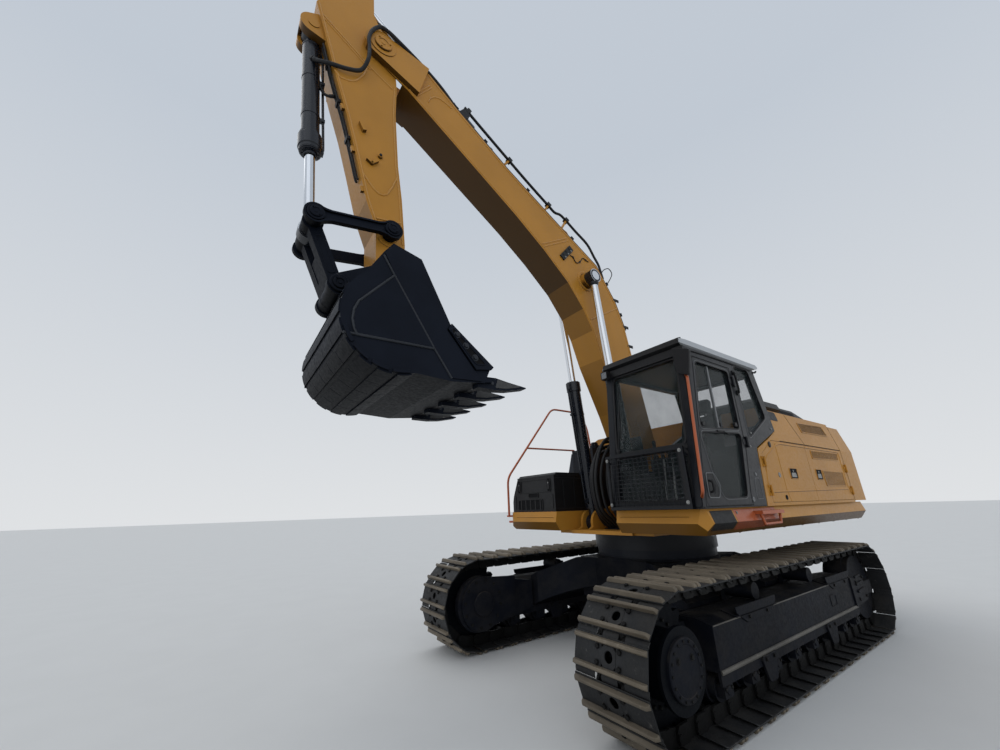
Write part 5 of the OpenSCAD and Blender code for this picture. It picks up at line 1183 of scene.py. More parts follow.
def toolbox_details():
    body, lid, dark, metal, treads = pieces(5)
    x, side = 1.175, -0.530

    def face(a, h, b):
        return (x + h, a, b)

    def on_left(a, h, b):
        return (a, side + h, b)
    # Front face: upper field with a latch at each end, low pocket handle and step pocket
    # Painted shade: each pocket below is a flat near-black sheet
    field = soft_rect(-1.225, 1.745, -0.665, 1.895, 0.02)
    body.rim(field, 0.012, -0.001, 0.008, face)
    for y in (-1.265, -0.635):
        pocket = soft_rect(y - 0.030, 1.740, y + 0.030, 1.900, 0.018)
        body.rim(pocket, 0.008, -0.001, 0.010, face)
        dark.prism(pocket, -0.001, 0.001, face)
        body.prism(smooth_outline([(y - 0.015, 1.765), (y + 0.015, 1.765), (y + 0.013, 1.875),
                                   (y - 0.013, 1.875)], 0.008, 3), 0.0, 0.012, face)
        metal.cyl((x + 0.010, y, 1.845), (x + 0.016, y, 1.845), 0.008, 16, 0.002)
    grip = soft_rect(-1.060, 1.672, -0.860, 1.722, 0.018)
    dark.prism(grip, -0.001, 0.001, face)
    body.rim(grip, 0.007, -0.001, 0.008, face)
    low = soft_rect(-1.290, 1.512, -0.780, 1.640, 0.022)
    dark.prism(low, -0.001, 0.001, face)
    body.rim(low, 0.010, -0.001, 0.010, face)
    for i in range(5):
        y = -1.235 + 0.103 * i
        body.box((y - 0.010, 0.0, 1.512), (y + 0.010, 0.006, 1.640), face)
    for y in (-1.375, -0.585):
        body.prism(soft_rect(y - 0.018, 1.520, y + 0.018, 1.700, 0.012, 3), -0.001, 0.006, face)
    # Sides: fine upright ribs and the lid's overlapping lip
    for i in range(3):
        cx = 0.62 + 0.20 * i
        body.prism(soft_rect(cx - 0.006, 1.53, cx + 0.006, 1.88, 0.004, 2), -0.001, 0.004, on_left)
    body.sweep([(0.470, 1.520), (1.150, 1.520)], 0.006, 0.004, on_left)
    body.sweep([(0.470, 1.900), (1.150, 1.900)], 0.008, 0.005, on_left)
    # Lid: lip round its edge, pressed field and anti-slip studs
    lid.box((0.452, -0.531, 1.9265), (1.176, -0.524, 1.944))
    lid.box((1.1745, -1.306, 1.9265), (1.181, -0.524, 1.944))
    top = 1.973
    field = soft_rect(0.52, -1.25, 1.06, -0.59, 0.05, 5)
    lid.sweep(field + field[:1], 0.010, 0.004, lambda a, h, b: (a, b, top + h))
    for i in range(8):
        for j in range(9):
            cx, cy = 0.565 + i * 0.066, -1.205 + j * 0.072
            treads.lathe((cx, cy, top), Z_AXIS, [(-0.001, 0.011), (0.003, 0.009), (0.003, 0.004),
                                                 (0.0015, 0.003), (0.0015, 0.0005)], 10)
    body.done("toolbox_mouldings", BLACK, "upper", 0.0015, 2)
    dark.done("toolbox_pockets", BLACK_AND_RECESS_SHADE, "upper")
    metal.done("toolbox_latches", STEEL, "upper", 0.001, 1)
    lid.done("toolbox_lid_rim", BLACK, "toolbox_lid", 0.001, 1)
    treads.done("toolbox_lid_studs", BLACK, "toolbox_lid")


def tank_details():
    p, b, t = pieces(3)
    top, front = 2.330, 0.420

    def face(a, h, c):
        return (front + h, a, c)

    def outer(a, h, c):
        return (a, -1.445 - h, c)
    b.ring_bolts((0.300, -0.560, top + 0.044), Z_AXIS, 0.056, 6, 0.007, 0.006)
    p.stud((0.300, -0.560, top + 0.074), Z_AXIS, (-0.001, 0.010, 0.016), (0.046, 0.040), 24)
    for c, s in circle(8):
        x, y = 0.300 + 0.046 * c, -0.560 + 0.046 * s
        p.box((x - 0.004, y - 0.004, top + 0.042), (x + 0.004, y + 0.004, top + 0.072))
    # Filter covers and breather on the tank's top, weld beads and level glass on its front
    r = 0.085
    for x, y in ((0.02, -0.70), (-0.30, -0.70)):
        p.stud((x, y, top), Z_AXIS, (-0.002, 0.012, 0.016), (r, r - 0.006), 32)
        b.ring_bolts((x, y, top + 0.012), Z_AXIS, r - 0.016, 6, 0.008, 0.010)
    p.lathe((0.25, -0.82, top), Z_AXIS, [(-0.002, 0.022), (0.03, 0.022), (0.032, 0.040), (0.060, 0.040),
                                         (0.068, 0.030), (0.068, 0.001)], 20)
    p.sweep([(-0.875, 1.52), (-0.875, 2.29)], 0.004, 0.003, face)
    p.sweep([(-0.88, 2.300), (-0.52, 2.300)], 0.006, 0.004, face)
    p.prism(soft_rect(-0.66, 1.98, -0.62, 2.20, 0.012, 3), -0.001, 0.010, face)
    # Pump cover: louvres on its slanted front
    for i in range(7):
        z = 1.87 + 0.44 * i / 7
        x = 0.090 - (z - 1.80) / 0.58 * 0.190
        p.box((-1.36, -0.001, 0), (-0.99, 0.006, 0.020),
              lambda a, h, c, x=x, z=z: (x + h * 0.95 - c * 0.31, a, z + c * 0.95 + h * 0.31))
    for x in (-0.20, -0.40):
        for y in (-1.40, -0.96):
            b.bolt((x, y, 2.380), Z_AXIS, 0.010, 0.008)
    p.sweep([(-0.13, 2.330), (-0.59, 2.330)], 0.008, 0.005, outer)
    p.sweep([(0.06, 1.56), (-0.59, 1.56)], 0.008, 0.005, outer)
    p.done("tank_fittings", BLACK, "upper", 0.0015, 2)
    b.done("tank_bolts", STEEL, "upper", angle=30)
    # Treads on the front decks
    for j in range(10):
        t.lathe((1.188, -0.60 - 0.08 * j, 1.485), Z_AXIS, [(-0.001, 0.009), (0.003, 0.007), (0.003, 0.0005)],
                8)
    for i in range(9):
        for j in range(2):
            at = (-0.06 + 0.048 * i, 1.480 + 0.028 * j, 1.447)
            t.lathe(at, Z_AXIS, [(-0.001, 0.008), (0.003, 0.006), (0.003, 0.0005)], 8)
    t.done("step_studs", ORANGE, "upper")


def frame_details():
    """Pins, caps and welds on the main frame, and the boom foot's hose bundle."""
    caps, beads = pieces(2)
    for s in (1, -1):
        caps.pin_cap(0.700, 1.340, s * (0.403 + 0.035 + 0.012), s, 0.090, 0.018, 3)
        caps.pin_cap(0.050, 1.900, s * 0.278, s, 0.100, 0.018, 3)
        beads.bead([(-2.60, s * 0.270, 1.266), (0.42, s * 0.270, 1.266)], 0.007, 6, 0.02)
        beads.bead([(0.46, s * 0.442, 1.266), (0.90, s * 0.442, 1.266)], 0.006, 6, 0.02)
        outline = smooth_outline([(-1.9, 1.30), (-1.1, 1.31), (-1.1, 1.38), (-1.9, 1.37)], 0.03, 4)
        caps.rim(outline, 0.006, s * 0.266, s * 0.270)
    caps.done("frame_pin_caps", PAINT, "upper", 0.001, 1)
    beads.done("frame_welds", PAINT, "upper")
    # Central hoses rise from the floor and bow forward to the boom's front
    hoses = ((-0.150, 0.00, 0.021, 0.90), (-0.095, 0.05, 0.021, 0.955), (-0.040, 0.10, 0.018, 0.99),
             (0.020, 0.14, 0.021, 1.00), (0.075, 0.06, 0.018, 0.97), (0.130, 0.02, 0.021, 0.92))
    for i, (y, lift, r, reach) in enumerate(hoses):
        h = Piece()
        h.hose([(0.62 + 0.03 * (i % 2), y, 1.285), (0.74, y, 1.34), (reach - 0.05, y + 0.010, 1.50),
                (reach, y + 0.006, 1.75), (reach - 0.035, y, 1.96), (reach - 0.13, y, 2.11 + lift * 0.5),
                (reach - 0.27, y, 2.20 + lift), (0.455 + lift * 0.4, y, 2.25 + lift)], r, 14, 10)
        obj = h.done("foot_hose_%d" % (i + 1), RUBBER, None)
        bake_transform(obj)
    clamp = Piece()
    clamp.box((0.395, -0.175, 2.225), (0.460, 0.155, 2.30))
    for y in (-0.17, 0.15):
        clamp.bolt((0.460, y, 2.262), X_AXIS, 0.009, 0.008)
    clamp.done("foot_hose_clamp", BLACK, "boom", 0.003, 2)
    plate = Piece()
    plate.box((0.560, -0.185, 1.262), (0.700, 0.165, 1.274))
    for i in range(6):
        plate.lathe((0.62 + 0.03 * (i % 2), -0.150 + 0.056 * i, 1.272), Z_AXIS,
                    [(0, 0.030), (0.012, 0.030), (0.016, 0.026)], 16)
    plate.done("floor_hose_plate", DARK, "upper", 0.002, 1)


# Boom, stick, cylinders, linkage and bucket

BOOM_TOP = [(0.185, 3.593), (0.255, 3.993), (0.385, 4.353), (0.705, 4.863), (1.635, 5.413), (2.255, 5.793),
            (2.995, 6.313), (3.435, 6.653)]
BOOM_LOW = [(0.424, 2.393), (0.540, 2.707), (0.835, 3.383), (0.955, 3.763), (1.095, 4.053), (1.335, 4.383),
            (1.725, 4.743), (2.165, 5.093), (3.675, 6.163)]
RAISED_PIPE = [(2.900, 6.500), (2.768, 6.396), (2.207, 6.011), (1.890, 5.798), (1.546, 5.584), (1.432, 5.516),
               (1.321, 5.523), (1.214, 5.471), (1.034, 5.358), (0.813, 5.226), (0.690, 5.048), (0.611, 4.932),
               (0.575, 4.800), (0.550, 4.720)]


def beside(a, b, at, side):
    """Frame on an edge that runs from a to b: a place function (along, y, out) about at, and the way out.
    Out is to the left of the run where side is 1 and to its right where it is -1."""
    u = unit2(a, b)
    n = (-u[1] * side, u[0] * side)

    def place(t, y, h):
        return (at[0] + u[0] * t + n[0] * h, y, at[1] + u[1] * t + n[1] * h)
    return place, (n[0], 0, n[1])


def side_beads(piece, line, y, r=0.009, sides=(1, -1), step=0.016):
    for s in sides:
        piece.bead([(a, s * y, b) for a, b in line], r, 6, step)


def boom_details():
    beads, plates, bolts, black = pieces(4)
    w = 0.2052
    side_beads(beads, inset_line(BOOM_TOP, -0.030), w, 0.007, step=0.024)
    side_beads(beads, inset_line(BOOM_LOW, 0.030), w, 0.007, step=0.024)
    for a, b in (((3.596, 6.176), (3.410, 6.452)), ((3.566, 6.160), (3.386, 6.430)),
                 ((1.730, 4.792), (1.250, 5.085)), ((1.752, 4.826), (1.272, 5.119)),
                 ((0.970, 3.925), (0.379, 4.254))):
        side_beads(beads, [a, b], w)
    tongue = smooth_outline([(3.423, 6.030), (3.415, 6.220), (3.354, 6.305), (3.278, 6.340), (3.159, 6.314),
                             (3.051, 6.262)], 0.06, 4)[5:-5]
    side_beads(beads, tongue, w)
    # Cylinder pin boss, and the doublers at the foot and the tip
    for s in (1, -1):
        plates.bosses(((0.980, 4.510, 0.118, 0.150, 0.010), (0.050, 1.900, 0.105, 0.150, 0.008)), s * w, s,
                      48)
        side_beads(beads, arc(0.980, 4.510, 0.152, 0, 360, 30), w, 0.006, (s,))
        plates.prism(smooth_outline([(-0.05, 2.06), (0.19, 2.02), (0.30, 2.60), (0.17, 2.72), (0.07, 2.66)],
                                    0.05, 5), s * (w - 0.003), s * (w + 0.008))
        # Bolted cover plates at the tip's fork ears
        ear = 0.190 + 0.006 + 0.070
        plates.pin_cap(4.015, 6.553, s * (ear + 0.010), s, 0.095, 0.020, 3)
        plates.bosses(((4.015, 6.553, 0.098, 0.150, 0.006),), s * ear, s, 48)
        plates.pin_cap(1.250, 5.270, s * (0.063 + 0.036 + 0.008 + 0.002), s, 0.080, 0.014, 2)
    # Valve block on the left side with its ports
    a, b = (1.411, 4.735), (1.215, 4.965)
    u = unit2(a, b)
    n = (-u[1], u[0])
    block = [shift(a, n, -0.045), shift(a, n, 0.045), shift(b, n, 0.045), shift(b, n, -0.045)]
    black.prism(smooth_outline(block, 0.008, 3), w - 0.002, w + 0.020)
    for t in (0.2, 0.5, 0.8):
        p = lerp(a, b, t)
        (x, z), (px, pz) = shift(p, n, 0.026), shift(p, n, -0.018)
        bolts.bolt((x, w + 0.020, z), Y_AXIS, 0.010, 0.008)
        black.lathe((px, w + 0.019, pz), Y_AXIS, [(0, 0.014), (0.007, 0.014), (0.007, 0.008)], 6)
    # Wiring lead clipped along the boom's left side
    lead = [(1.244, 4.838), (1.190, 4.828), (1.160, 4.776), (1.125, 4.758), (1.063, 4.797), (0.993, 4.887),
            (0.937, 4.877), (0.879, 4.866)]
    black.tube([(x, w + 0.007, z) for x, z in lead], 0.0065, 8, 6)
    for i in (1, 4, 6):
        x, z = lead[i]
        black.box((x - 0.012, w - 0.002, z - 0.012), (x + 0.012, w + 0.014, z + 0.012))
    # Edge brackets at the back of the boom, and the bolts of the pipe clamps
    for x, z in ((0.331, 4.395), (0.190, 3.996), (0.150, 3.700)):
        for s in (1, -1):
            black.box((x - 0.030, s * 0.2005 - 0.0065, z - 0.020),
                      (x + 0.095, s * 0.2005 + 0.0065, z + 0.020))
    for p, q in zip(BOOM_TOP[1:-2], BOOM_TOP[2:-1]):
        on_edge, up = beside(p, q, lerp(p, q, 0.5), 1)
        for s in (1, -1):
            y = s * 0.150
            bolts.bolt(on_edge(0, y, 0.064), up, 0.010, 0.010)
            black.box((-0.026, y - 0.050, 0.056), (0.026, y + 0.050, 0.066), on_edge)
    # Raised pipe over the left top edge, from the block at its upper end, on three stands with clamps
    black.tube([(x, 0.170, z) for x, z in RAISED_PIPE], 0.018, 12, 5)
    on_top, up = beside(BOOM_TOP[5], BOOM_TOP[6], (2.960, 6.289), 1)
    black.box((-0.055, 0.115, -0.004), (0.055, 0.200, 0.150), on_top)
    black.box((-0.020, 0.135, 0.145), (0.035, 0.200, 0.235), on_top)
    for at, k, h in (((2.326, 5.842), 5, 0.207), ((1.646, 5.420), 4, 0.192), ((1.348, 5.244), 3, 0.264)):
        on_top, up = beside(BOOM_TOP[k], BOOM_TOP[k + 1], at, 1)
        plates.box((-0.014, 0.155, -0.004), (0.014, 0.185, h), on_top)
        black.box((-0.034, 0.140, h - 0.030), (0.034, 0.200, h + 0.028), on_top)
        bolts.bolt(on_top(0, 0.170, h + 0.028), up, 0.010, 0.010)
    # Thin cable that loops out behind the cylinder's pin
    black.tube([(0.590, 0.185, 4.790), (0.531, 0.190, 4.867), (0.420, 0.195, 4.928), (0.360, 0.198, 4.859),
                (0.415, 0.198, 4.750), (0.520, 0.195, 4.606)], 0.007, 8, 6)
    # Pipe end fittings
    for x, z, a, b in ((0.2155, 4.0074, 2, 1), (2.972, 6.3457, 5, 6)):
        u = unit2(BOOM_TOP[a], BOOM_TOP[b])
        for y in (-0.170, -0.130, 0.130, 0.170):
            black.lathe((x - u[0] * 0.01, y, z - u[1] * 0.01), (u[0], 0, u[1]),
                        [(0, 0.0225), (0.040, 0.0225), (0.040, 0.019), (0.060, 0.019)], 6)
    beads.done("boom_welds", SEAM_HIGHLIGHT_PAINT, "boom", angle=60)
    plates.done("boom_bosses", PAINT, "boom", 0.001, 1)
    bolts.done("boom_bolts", STEEL, "boom", angle=30)
    black.done("boom_fittings", BLACK, "boom", 0.001, 1)


STICK_FRONT = [(3.893, 4.131), (4.008, 4.420), (4.149, 4.919), (4.275, 5.349), (4.413, 5.752), (4.564, 6.238),
               (4.716, 6.705)]
FRONT_BLOCKS = ((1, 0.25), (2, 0.15), (3, 0.28))
STICK_BACK = [(3.800, 6.100), (3.789, 5.699), (3.721, 5.006), (3.656, 4.586), (3.596, 4.050)]


def stick_details():
    beads, plates, black = pieces(3)
    w = 0.1902
    side_beads(beads, inset_line(STICK_FRONT, 0.026), w, 0.008, step=0.024)
    side_beads(beads, inset_line(STICK_BACK, 0.026), w, 0.008, step=0.024)
    double = [(4.628, 6.559), (4.188, 6.251), (4.092, 6.190), (3.852, 6.061)]
    side_beads(beads, double, w)
    side_beads(beads, [(a + 0.014, b - 0.026) for a, b in double[:-1]], w)
    side_beads(beads, [(4.448, 5.868), (4.380, 5.811), (4.292, 5.835), (4.235, 5.885), (4.203, 5.947),
                       (4.160, 6.050), (4.139, 6.160)], w)
    side_beads(beads, [(4.068, 4.729), (3.998, 4.639), (3.945, 4.580), (3.889, 4.552), (3.848, 4.556),
                       (3.813, 4.584), (3.767, 4.698), (3.722, 4.850)], w)
    side_beads(beads, [(3.900, 4.250), (3.640, 4.300)], w)
    for s in (1, -1):
        plates.bosses(((3.764, 4.088, 0.082, 0.118, 0.004), (4.300, 7.500, 0.078, 0.125, 0.008)), s * w, s,
                      40, 0.002, 0.004)
        plates.pin_cap(4.300, 7.500, s * (w - 0.001), s, 0.070, 0.018, 3)
    # Brackets and a capped port on the left side
    for a, b, half, high in (((4.144, 5.329), (4.097, 5.236), 0.020, 0.040),
                             ((4.045, 4.908), (3.985, 4.870), 0.014, 0.034),
                             ((3.997, 4.868), (3.937, 4.939), 0.014, 0.034)):
        u = unit2(a, b)
        n = (-u[1], u[0])
        plates.prism([shift(a, n, half), shift(b, n, half), shift(b, n, -half), shift(a, n, -half)],
                     w - 0.002, w + high)
    plates.stud((3.916, w, 5.020), Y_AXIS, (-0.002, 0.020, 0.024), (0.026, 0.022), 20)
    black.stud((3.916, w + 0.024, 5.020), Y_AXIS, (-0.002, 0.010, 0.012), (0.016, 0.013), 6)
    # Clamp blocks along the front face's left edge, and the two lines with their clamps
    for k, t in FRONT_BLOCKS:
        p, q = STICK_FRONT[k], STICK_FRONT[k + 1]
        plates.box((-0.030, 0.150, -0.002), (0.030, 0.184, 0.030), beside(p, q, lerp(p, q, t), -1)[0])
    tail = lerp(STICK_FRONT[1], STICK_FRONT[2], 0.60)
    line = [(tail[0] + 0.021, tail[1] - 0.006)] + inset_line(STICK_FRONT, -0.022)[2:6]
    for y in (0.085, 0.130):
        black.tube([(line[0][0] - 0.02, y, line[0][1] - 0.04)] + [(a, y, b) for a, b in line], 0.0125, 10, 4)
    for p, q in zip(STICK_FRONT[2:5], STICK_FRONT[3:6]):
        black.box((-0.018, 0.062, -0.001), (0.018, 0.153, 0.040), beside(p, q, lerp(p, q, 0.5), -1)[0])
    beads.done("stick_welds", SEAM_HIGHLIGHT_PAINT, "stick", angle=60)
    plates.done("stick_bosses", PAINT, "stick", 0.001, 1)
    black.done("stick_fittings", BLACK, "stick", 0.001, 1)


def cylinder_details(name, a, b, ys, length, neck, out, drop, long_gland=False):
    """Gland, welds, ports and feed pipe of one kind of cylinder from pin a to pin b, at each y of ys.
    length is the barrel's, neck where its bore starts, and drop how far the ports stand out.
    The pipe is to the right of the run from a to b where out is 1, and to its left where it is -1."""
    barrel, rod, tubes = pieces(3)
    place = beside(a, b, a, -out)[0]
    u, full = unit2(a, b), math.dist(a, b)
    along = (u[0], 0, u[1])
    s_end = "s" if len(ys) > 1 else ""

    def at(t, y, h=0.0):
        return Vector(place(t, y, h))
    for y in ys:
        barrel.lathe(at(length, y), along, [(-0.002, 0.093), (0.006, 0.093), (0.010, 0.088), (0.010, 0.062),
                                            (0.018, 0.058), (0.018, 0.052)], 48, True)
        barrel.ring_bolts(at(length + 0.007, y), along, 0.076, 12, 0.0075, 0.010)
        if long_gland:
            barrel.lathe(at(length - 0.215, y), along, [(0, 0.086), (0.006, 0.103), (0.034, 0.104),
                                                        (0.040, 0.1125), (0.168, 0.1125), (0.176, 0.104),
                                                        (0.205, 0.102), (0.210, 0.086)], 48, True)
            barrel.lathe(at(length + 0.008, y), along, [(0, 0.066), (0.034, 0.064), (0.038, 0.060),
                                                        (0.038, 0.052)], 40, True)
        # Weld rings, ports, feed pipe and its two clamp bands
        for t, r in ((neck + 0.012, 0.089), (length - 0.126, 0.090)):
            barrel.lathe(at(t, y), along, [(-0.007, 0.084), (-0.004, r), (0.004, r), (0.007, 0.084)], 48,
                         True)
        for t, r in ((neck + 0.10, 0.084), (length - 0.06, 0.098)):
            barrel.box((t - 0.035, y - 0.030, r - 0.006), (t + 0.035, y + 0.030, r + drop), place)
        h0 = 0.098 + drop * 0.55
        line = ((neck + 0.125, 0), (neck + 0.20, 0.004), (length * 0.5, 0.004), (length - 0.16, 0.008),
                (length - 0.09, 0.006))
        tubes.tube([at(t, y, h0 + h) for t, h in line], 0.0135, 10, 6)
        for t in (neck + 0.45, length - 0.45):
            tubes.lathe(at(t - 0.014, y), along, [(0, 0.0845), (0, 0.0885), (0.028, 0.0885), (0.028, 0.0845)],
                        40, True)
            tubes.box((t - 0.016, y - 0.022, 0.084), (t + 0.016, y + 0.022, h0 + 0.022), place)
        # Rod eye: dark casting, weld collar, and flat rings beside the boss
        rod.cyl((b[0], y - 0.0577, b[1]), (b[0], y + 0.0577, b[1]), 0.0995, 48)
        rod.lathe(at(full - 0.135, y), along, [(0, 0.049), (0.006, 0.056), (0.030, 0.066), (0.050, 0.068)],
                  32)
        for s in (1, -1):
            rod.lathe((b[0], y + s * 0.058, b[1]), (0, s, 0), [(-0.002, 0.090), (0.0015, 0.090),
                                                               (0.0025, 0.087), (0.0025, 0.068),
                                                               (-0.002, 0.066)], 40)
    barrel.done(name + "_barrel_fittings", CYL, name + "_barrel" + s_end, 0.0015, 1)
    tubes.done(name + "_feed_pipes", CYL, name + "_barrel" + s_end)
    rod.done(name + "_rod_eye", CYL, name + "_rod" + s_end, 0.001, 1)


def linkage_details():
    plates, caps, link = pieces(3)
    i_pin, l_pin, b_pin = (3.764, 4.088), (4.433, 3.972), (4.170, 3.390)
    place, _ = beside(i_pin, l_pin, i_pin, 1)
    span, inner_y, outer_y = math.dist(i_pin, l_pin), 0.272, 0.322

    def bone_outline(r, neck, waist):
        """Side view of an idler link: round ends, then neck and waist as (from the pin, half height)."""
        (a, h), (b, k) = neck, waist
        line = arc(0, 0, r, 48, 312, 22) + [(a, -h), (b, -k), (span - b, -k), (span - a, -h)]
        line += arc(span, 0, r, -132, 132, 22) + [(span - a, h), (span - b, k), (b, k), (a, h)]
        return [place(p, 0, q)[::2] for p, q in line]
    bone = bone_outline(0.097, (0.098, 0.062), (0.135, 0.055))
    inset = bone_outline(0.078, (0.080, 0.044), (0.120, 0.036))
    u = unit2(b_pin, l_pin)
    n = (-u[1], u[0])

    def arm(t0, t1, half):
        """Outline along the bucket link from t0 to t1 of its length."""
        a, b = lerp(b_pin, l_pin, t0), lerp(b_pin, l_pin, t1)
        return [shift(a, n, -half), shift(b, n, -half), shift(b, n, half), shift(a, n, half)]
    for s in (1, -1):
        plates.prism(bone, s * inner_y, s * 0.300)
        plates.band(bone, inset, s * 0.299, s * outer_y)
        for p in (i_pin, l_pin):
            plates.stud((p[0], s * 0.299, p[1]), (0, s, 0), (0, 0.026, 0.030), (0.074, 0.069), 40)
            plates.cyl((p[0], s * 0.197, p[1]), (p[0], s * 0.273, p[1]), 0.070, 36, 0.003)
            caps.pin_cap(p[0], p[1], s * 0.328, s, 0.052, 0.014, 2)
        # Bucket link's curved arms: raised edge
        oval = smooth_outline(arm(0.22, 0.78, 0.030), 0.029, 7)
        link.sweep(oval + oval[:1], 0.008, 0.005, lambda a, h, b, k=s: (a, k * (0.190 + h), b))
    plates.cyl((i_pin[0], -0.273, i_pin[1]), (i_pin[0], 0.273, i_pin[1]), 0.044, 32)
    # Web that closes the bucket link's lower half
    link.prism(arm(0.20, 0.56, 0.052), -0.078, 0.078)
    plates.done("idler_link_plates", BUCKET, "idler_links", 0.004, 2, replaces=("idler_links",))
    caps.done("idler_link_caps", BUCKET, "idler_links", 0.001, 1)
    link.done("bucket_link_rims", BUCKET, "bucket_link", 0.002, 1)


def bucket_details():
    plates, beads, worn, bolts, pocket = pieces(5)
    centre, r, half, pitch = (3.800, 2.935), 0.435, 0.745, 0.334

    def shell_band(outer, inner, a0, a1):
        """Outline between two radii about the shell's centre."""
        return arc(*centre, outer, a0, a1, 4) + arc(*centre, inner, a1, a0, 4)
    # Wear bands across the shell, in segments
    for a0, a1 in ((-106, -92), (-86, -72), (-66, -52), (-46, -32), (-26, -12), (-6, 8), (14, 28)):
        for k in range(5):
            y0 = -0.735 + 0.296 * k
            plates.prism(shell_band(r + 0.011, r - 0.003, a0, a1), y0, y0 + 0.291)
    for s in (1, -1):
        # Side plate's edge strip, its weld, and the lower corner panel's weld
        strip = [(3.948, 3.478), (3.878, 3.588), (3.650, 3.528), (3.370, 2.990), (3.400, 2.948),
                 (3.140, 2.640), (3.060, 2.550), (3.336, 2.534), (3.496, 2.755), (3.863, 3.318)]
        plates.prism(smooth_outline(strip, 0.012, 3), s * (half - 0.003), s * (half + 0.011))
        beads.bead([(a, s * (half + 0.002), b) for a, b in ((3.957, 3.459), (3.866, 3.314), (3.500, 2.752),
                                                            (3.345, 2.534))], 0.010, 6, 0.016)
        panel = [(3.862, 3.304), (4.113, 3.001), (4.141, 2.928), (4.145, 2.850), (4.127, 2.779),
                 (4.102, 2.736), (3.496, 2.755)]
        plates.prism(panel, s * (half - 0.003), s * (half + 0.008))
        beads.bead([(a, s * (half + 0.004), b) for a, b in panel + [(4.199, 2.737)]], 0.010, 6, 0.016)
        # Wear plates round the side's lower edge
        for a0, a1 in ((-104, -86), (-82, -64), (-60, -42), (-38, -20)):
            plates.prism(shell_band(r - 0.004, r - 0.032, a0, a1), s * (half - 0.002), s * (half + 0.016))
        # Side cutter's sunk field, a near-black sheet of painted shade, and bolts
        cut = half + 0.026
        field = smooth_outline([(3.352, 2.962), (3.362, 2.935), (3.130, 2.690), (3.040, 2.700)], 0.02)
        pocket.prism(field, s * (cut - 0.001), s * (cut + 0.0008))
        plates.rim(field, 0.010, s * (cut - 0.002), s * (cut + 0.005))
        for x, z in ((3.312, 2.914), (3.228, 2.832), (3.140, 2.742)):
            bolts.bolt((x, s * cut, z), (0, s, 0), 0.021, 0.018)
        # Hinge ears: round bosses, caps and welds on the shell
        ear = 0.196 + 0.060
        for x, z, q in ((3.720, 3.620, 0.104), (4.170, 3.390, 0.084)):
            plates.lathe((x, s * ear, z), (0, s, 0), [(-0.004, q), (0.020, q), (0.026, q - 0.006),
                                                      (0.026, q * 0.72), (-0.004, q * 0.70)], 40)
            plates.pin_cap(x, z, s * (ear + 0.012), s, q * 0.68, 0.026, 2)
        for y in (0.196, 0.256):
            beads.bead([(3.900, s * y, 3.375), (3.960, s * y, 3.340), (4.130, s * y, 3.226)], 0.009, 6, 0.018)
    # Teeth: adapters over the lip with welds, tip sleeves, pins and worn ridges
    for i in range(5):
        y = (i - 2) * pitch
        for k in (1, -1):
            plates.prism(smooth_outline([(3.080, 2.600), (3.300, 2.585), (3.330, 2.545), (3.080, 2.545)],
                                        0.02, 3), y + k * 0.020, y + k * 0.052)
            worn.prism(smooth_outline([(2.905, 2.528), (2.880, 2.612), (2.790, 2.596), (2.640, 2.584),
                                       (2.640, 2.570), (2.790, 2.536)], 0.012, 3), y + k * 0.043,
                       y + k * 0.050)
            bolts.cyl((2.935, y + k * 0.044, 2.566), (2.935, y + k * 0.051, 2.566), 0.017, 18, 0.003)
        beads.bead([(3.078, y - 0.047, 2.614), (3.300, y - 0.047, 2.590), (3.300, y + 0.047, 2.590),
                    (3.078, y + 0.047, 2.614)], 0.006, 6, 0.018)
        worn.prism([(2.900, 2.618), (2.892, 2.632), (2.770, 2.608), (2.600, 2.584), (2.600, 2.578),
                    (2.770, 2.598)], y - 0.012, y + 0.012)
    # Lip edge bar between the teeth, worn bright
    for i in range(4):
        y = (i - 2) * pitch
        worn.prism([(2.958, 2.556), (2.940, 2.575), (2.960, 2.602), (3.060, 2.600), (3.060, 2.548)],
                   y + 0.048, y + 0.286)
    plates.done("bucket_plates", BUCKET, "bucket", 0.002, 1)
    beads.done("bucket_welds", RIDGE_STEEL_AND_HIGHLIGHT, "bucket", angle=60)
    worn.done("bucket_wear_plates", WORN, "bucket", 0.0025, 1)
    bolts.done("bucket_bolts", RIDGE_STEEL_AND_HIGHLIGHT, "bucket", angle=30)
    pocket.done("cutter_pockets", BLACK_AND_RECESS_SHADE, "bucket")


def arm_hoses():
    """Hoses between stick and bucket cylinder, and between boom and stick."""
    h = Piece()
    h.hose([(4.530, 0.030, 5.720), (4.500, 0.060, 5.640), (4.455, 0.085, 5.610), (4.400, 0.090, 5.640)],
           0.014, 10, 6)
    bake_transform(h.done("bucket_cylinder_hose", RUBBER, None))
    path = [(4.659, 0.075, 6.004), (4.592, 0.150, 5.933), (4.493, 0.205, 5.909), (4.344, 0.235, 5.923),
            (4.208, 0.240, 6.011), (4.159, 0.295, 6.143), (4.159, 0.295, 6.326), (4.176, 0.295, 6.478),
            (4.148, 0.295, 6.633), (4.071, 0.295, 6.763), (3.982, 0.295, 6.771), (3.874, 0.290, 6.740),
            (3.560, 0.225, 6.700), (3.260, 0.180, 6.590), (3.010, 0.170, 6.376)]
    h = Piece()
    h.hose(path, 0.021, 12, 6)
    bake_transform(h.done("stick_hose", RUBBER, None))
    for i, y in enumerate((-0.130, 0.130)):
        h = Piece()
        h.hose([(3.010, y, 6.376), (3.198, y, 6.520), (3.389, y * 1.1, 6.735), (3.607, y * 1.2, 6.815),
                (3.790, y * 1.2, 6.900), (3.930, y * 1.2, 6.990), (4.040, y * 1.1, 7.040),
                (4.100, y * 0.9, 7.075)], 0.018, 12, 6)
        obj = h.done("arm_hose_%d" % (i + 1), RUBBER, None)
        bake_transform(obj)


# Seat and controls behind the glass

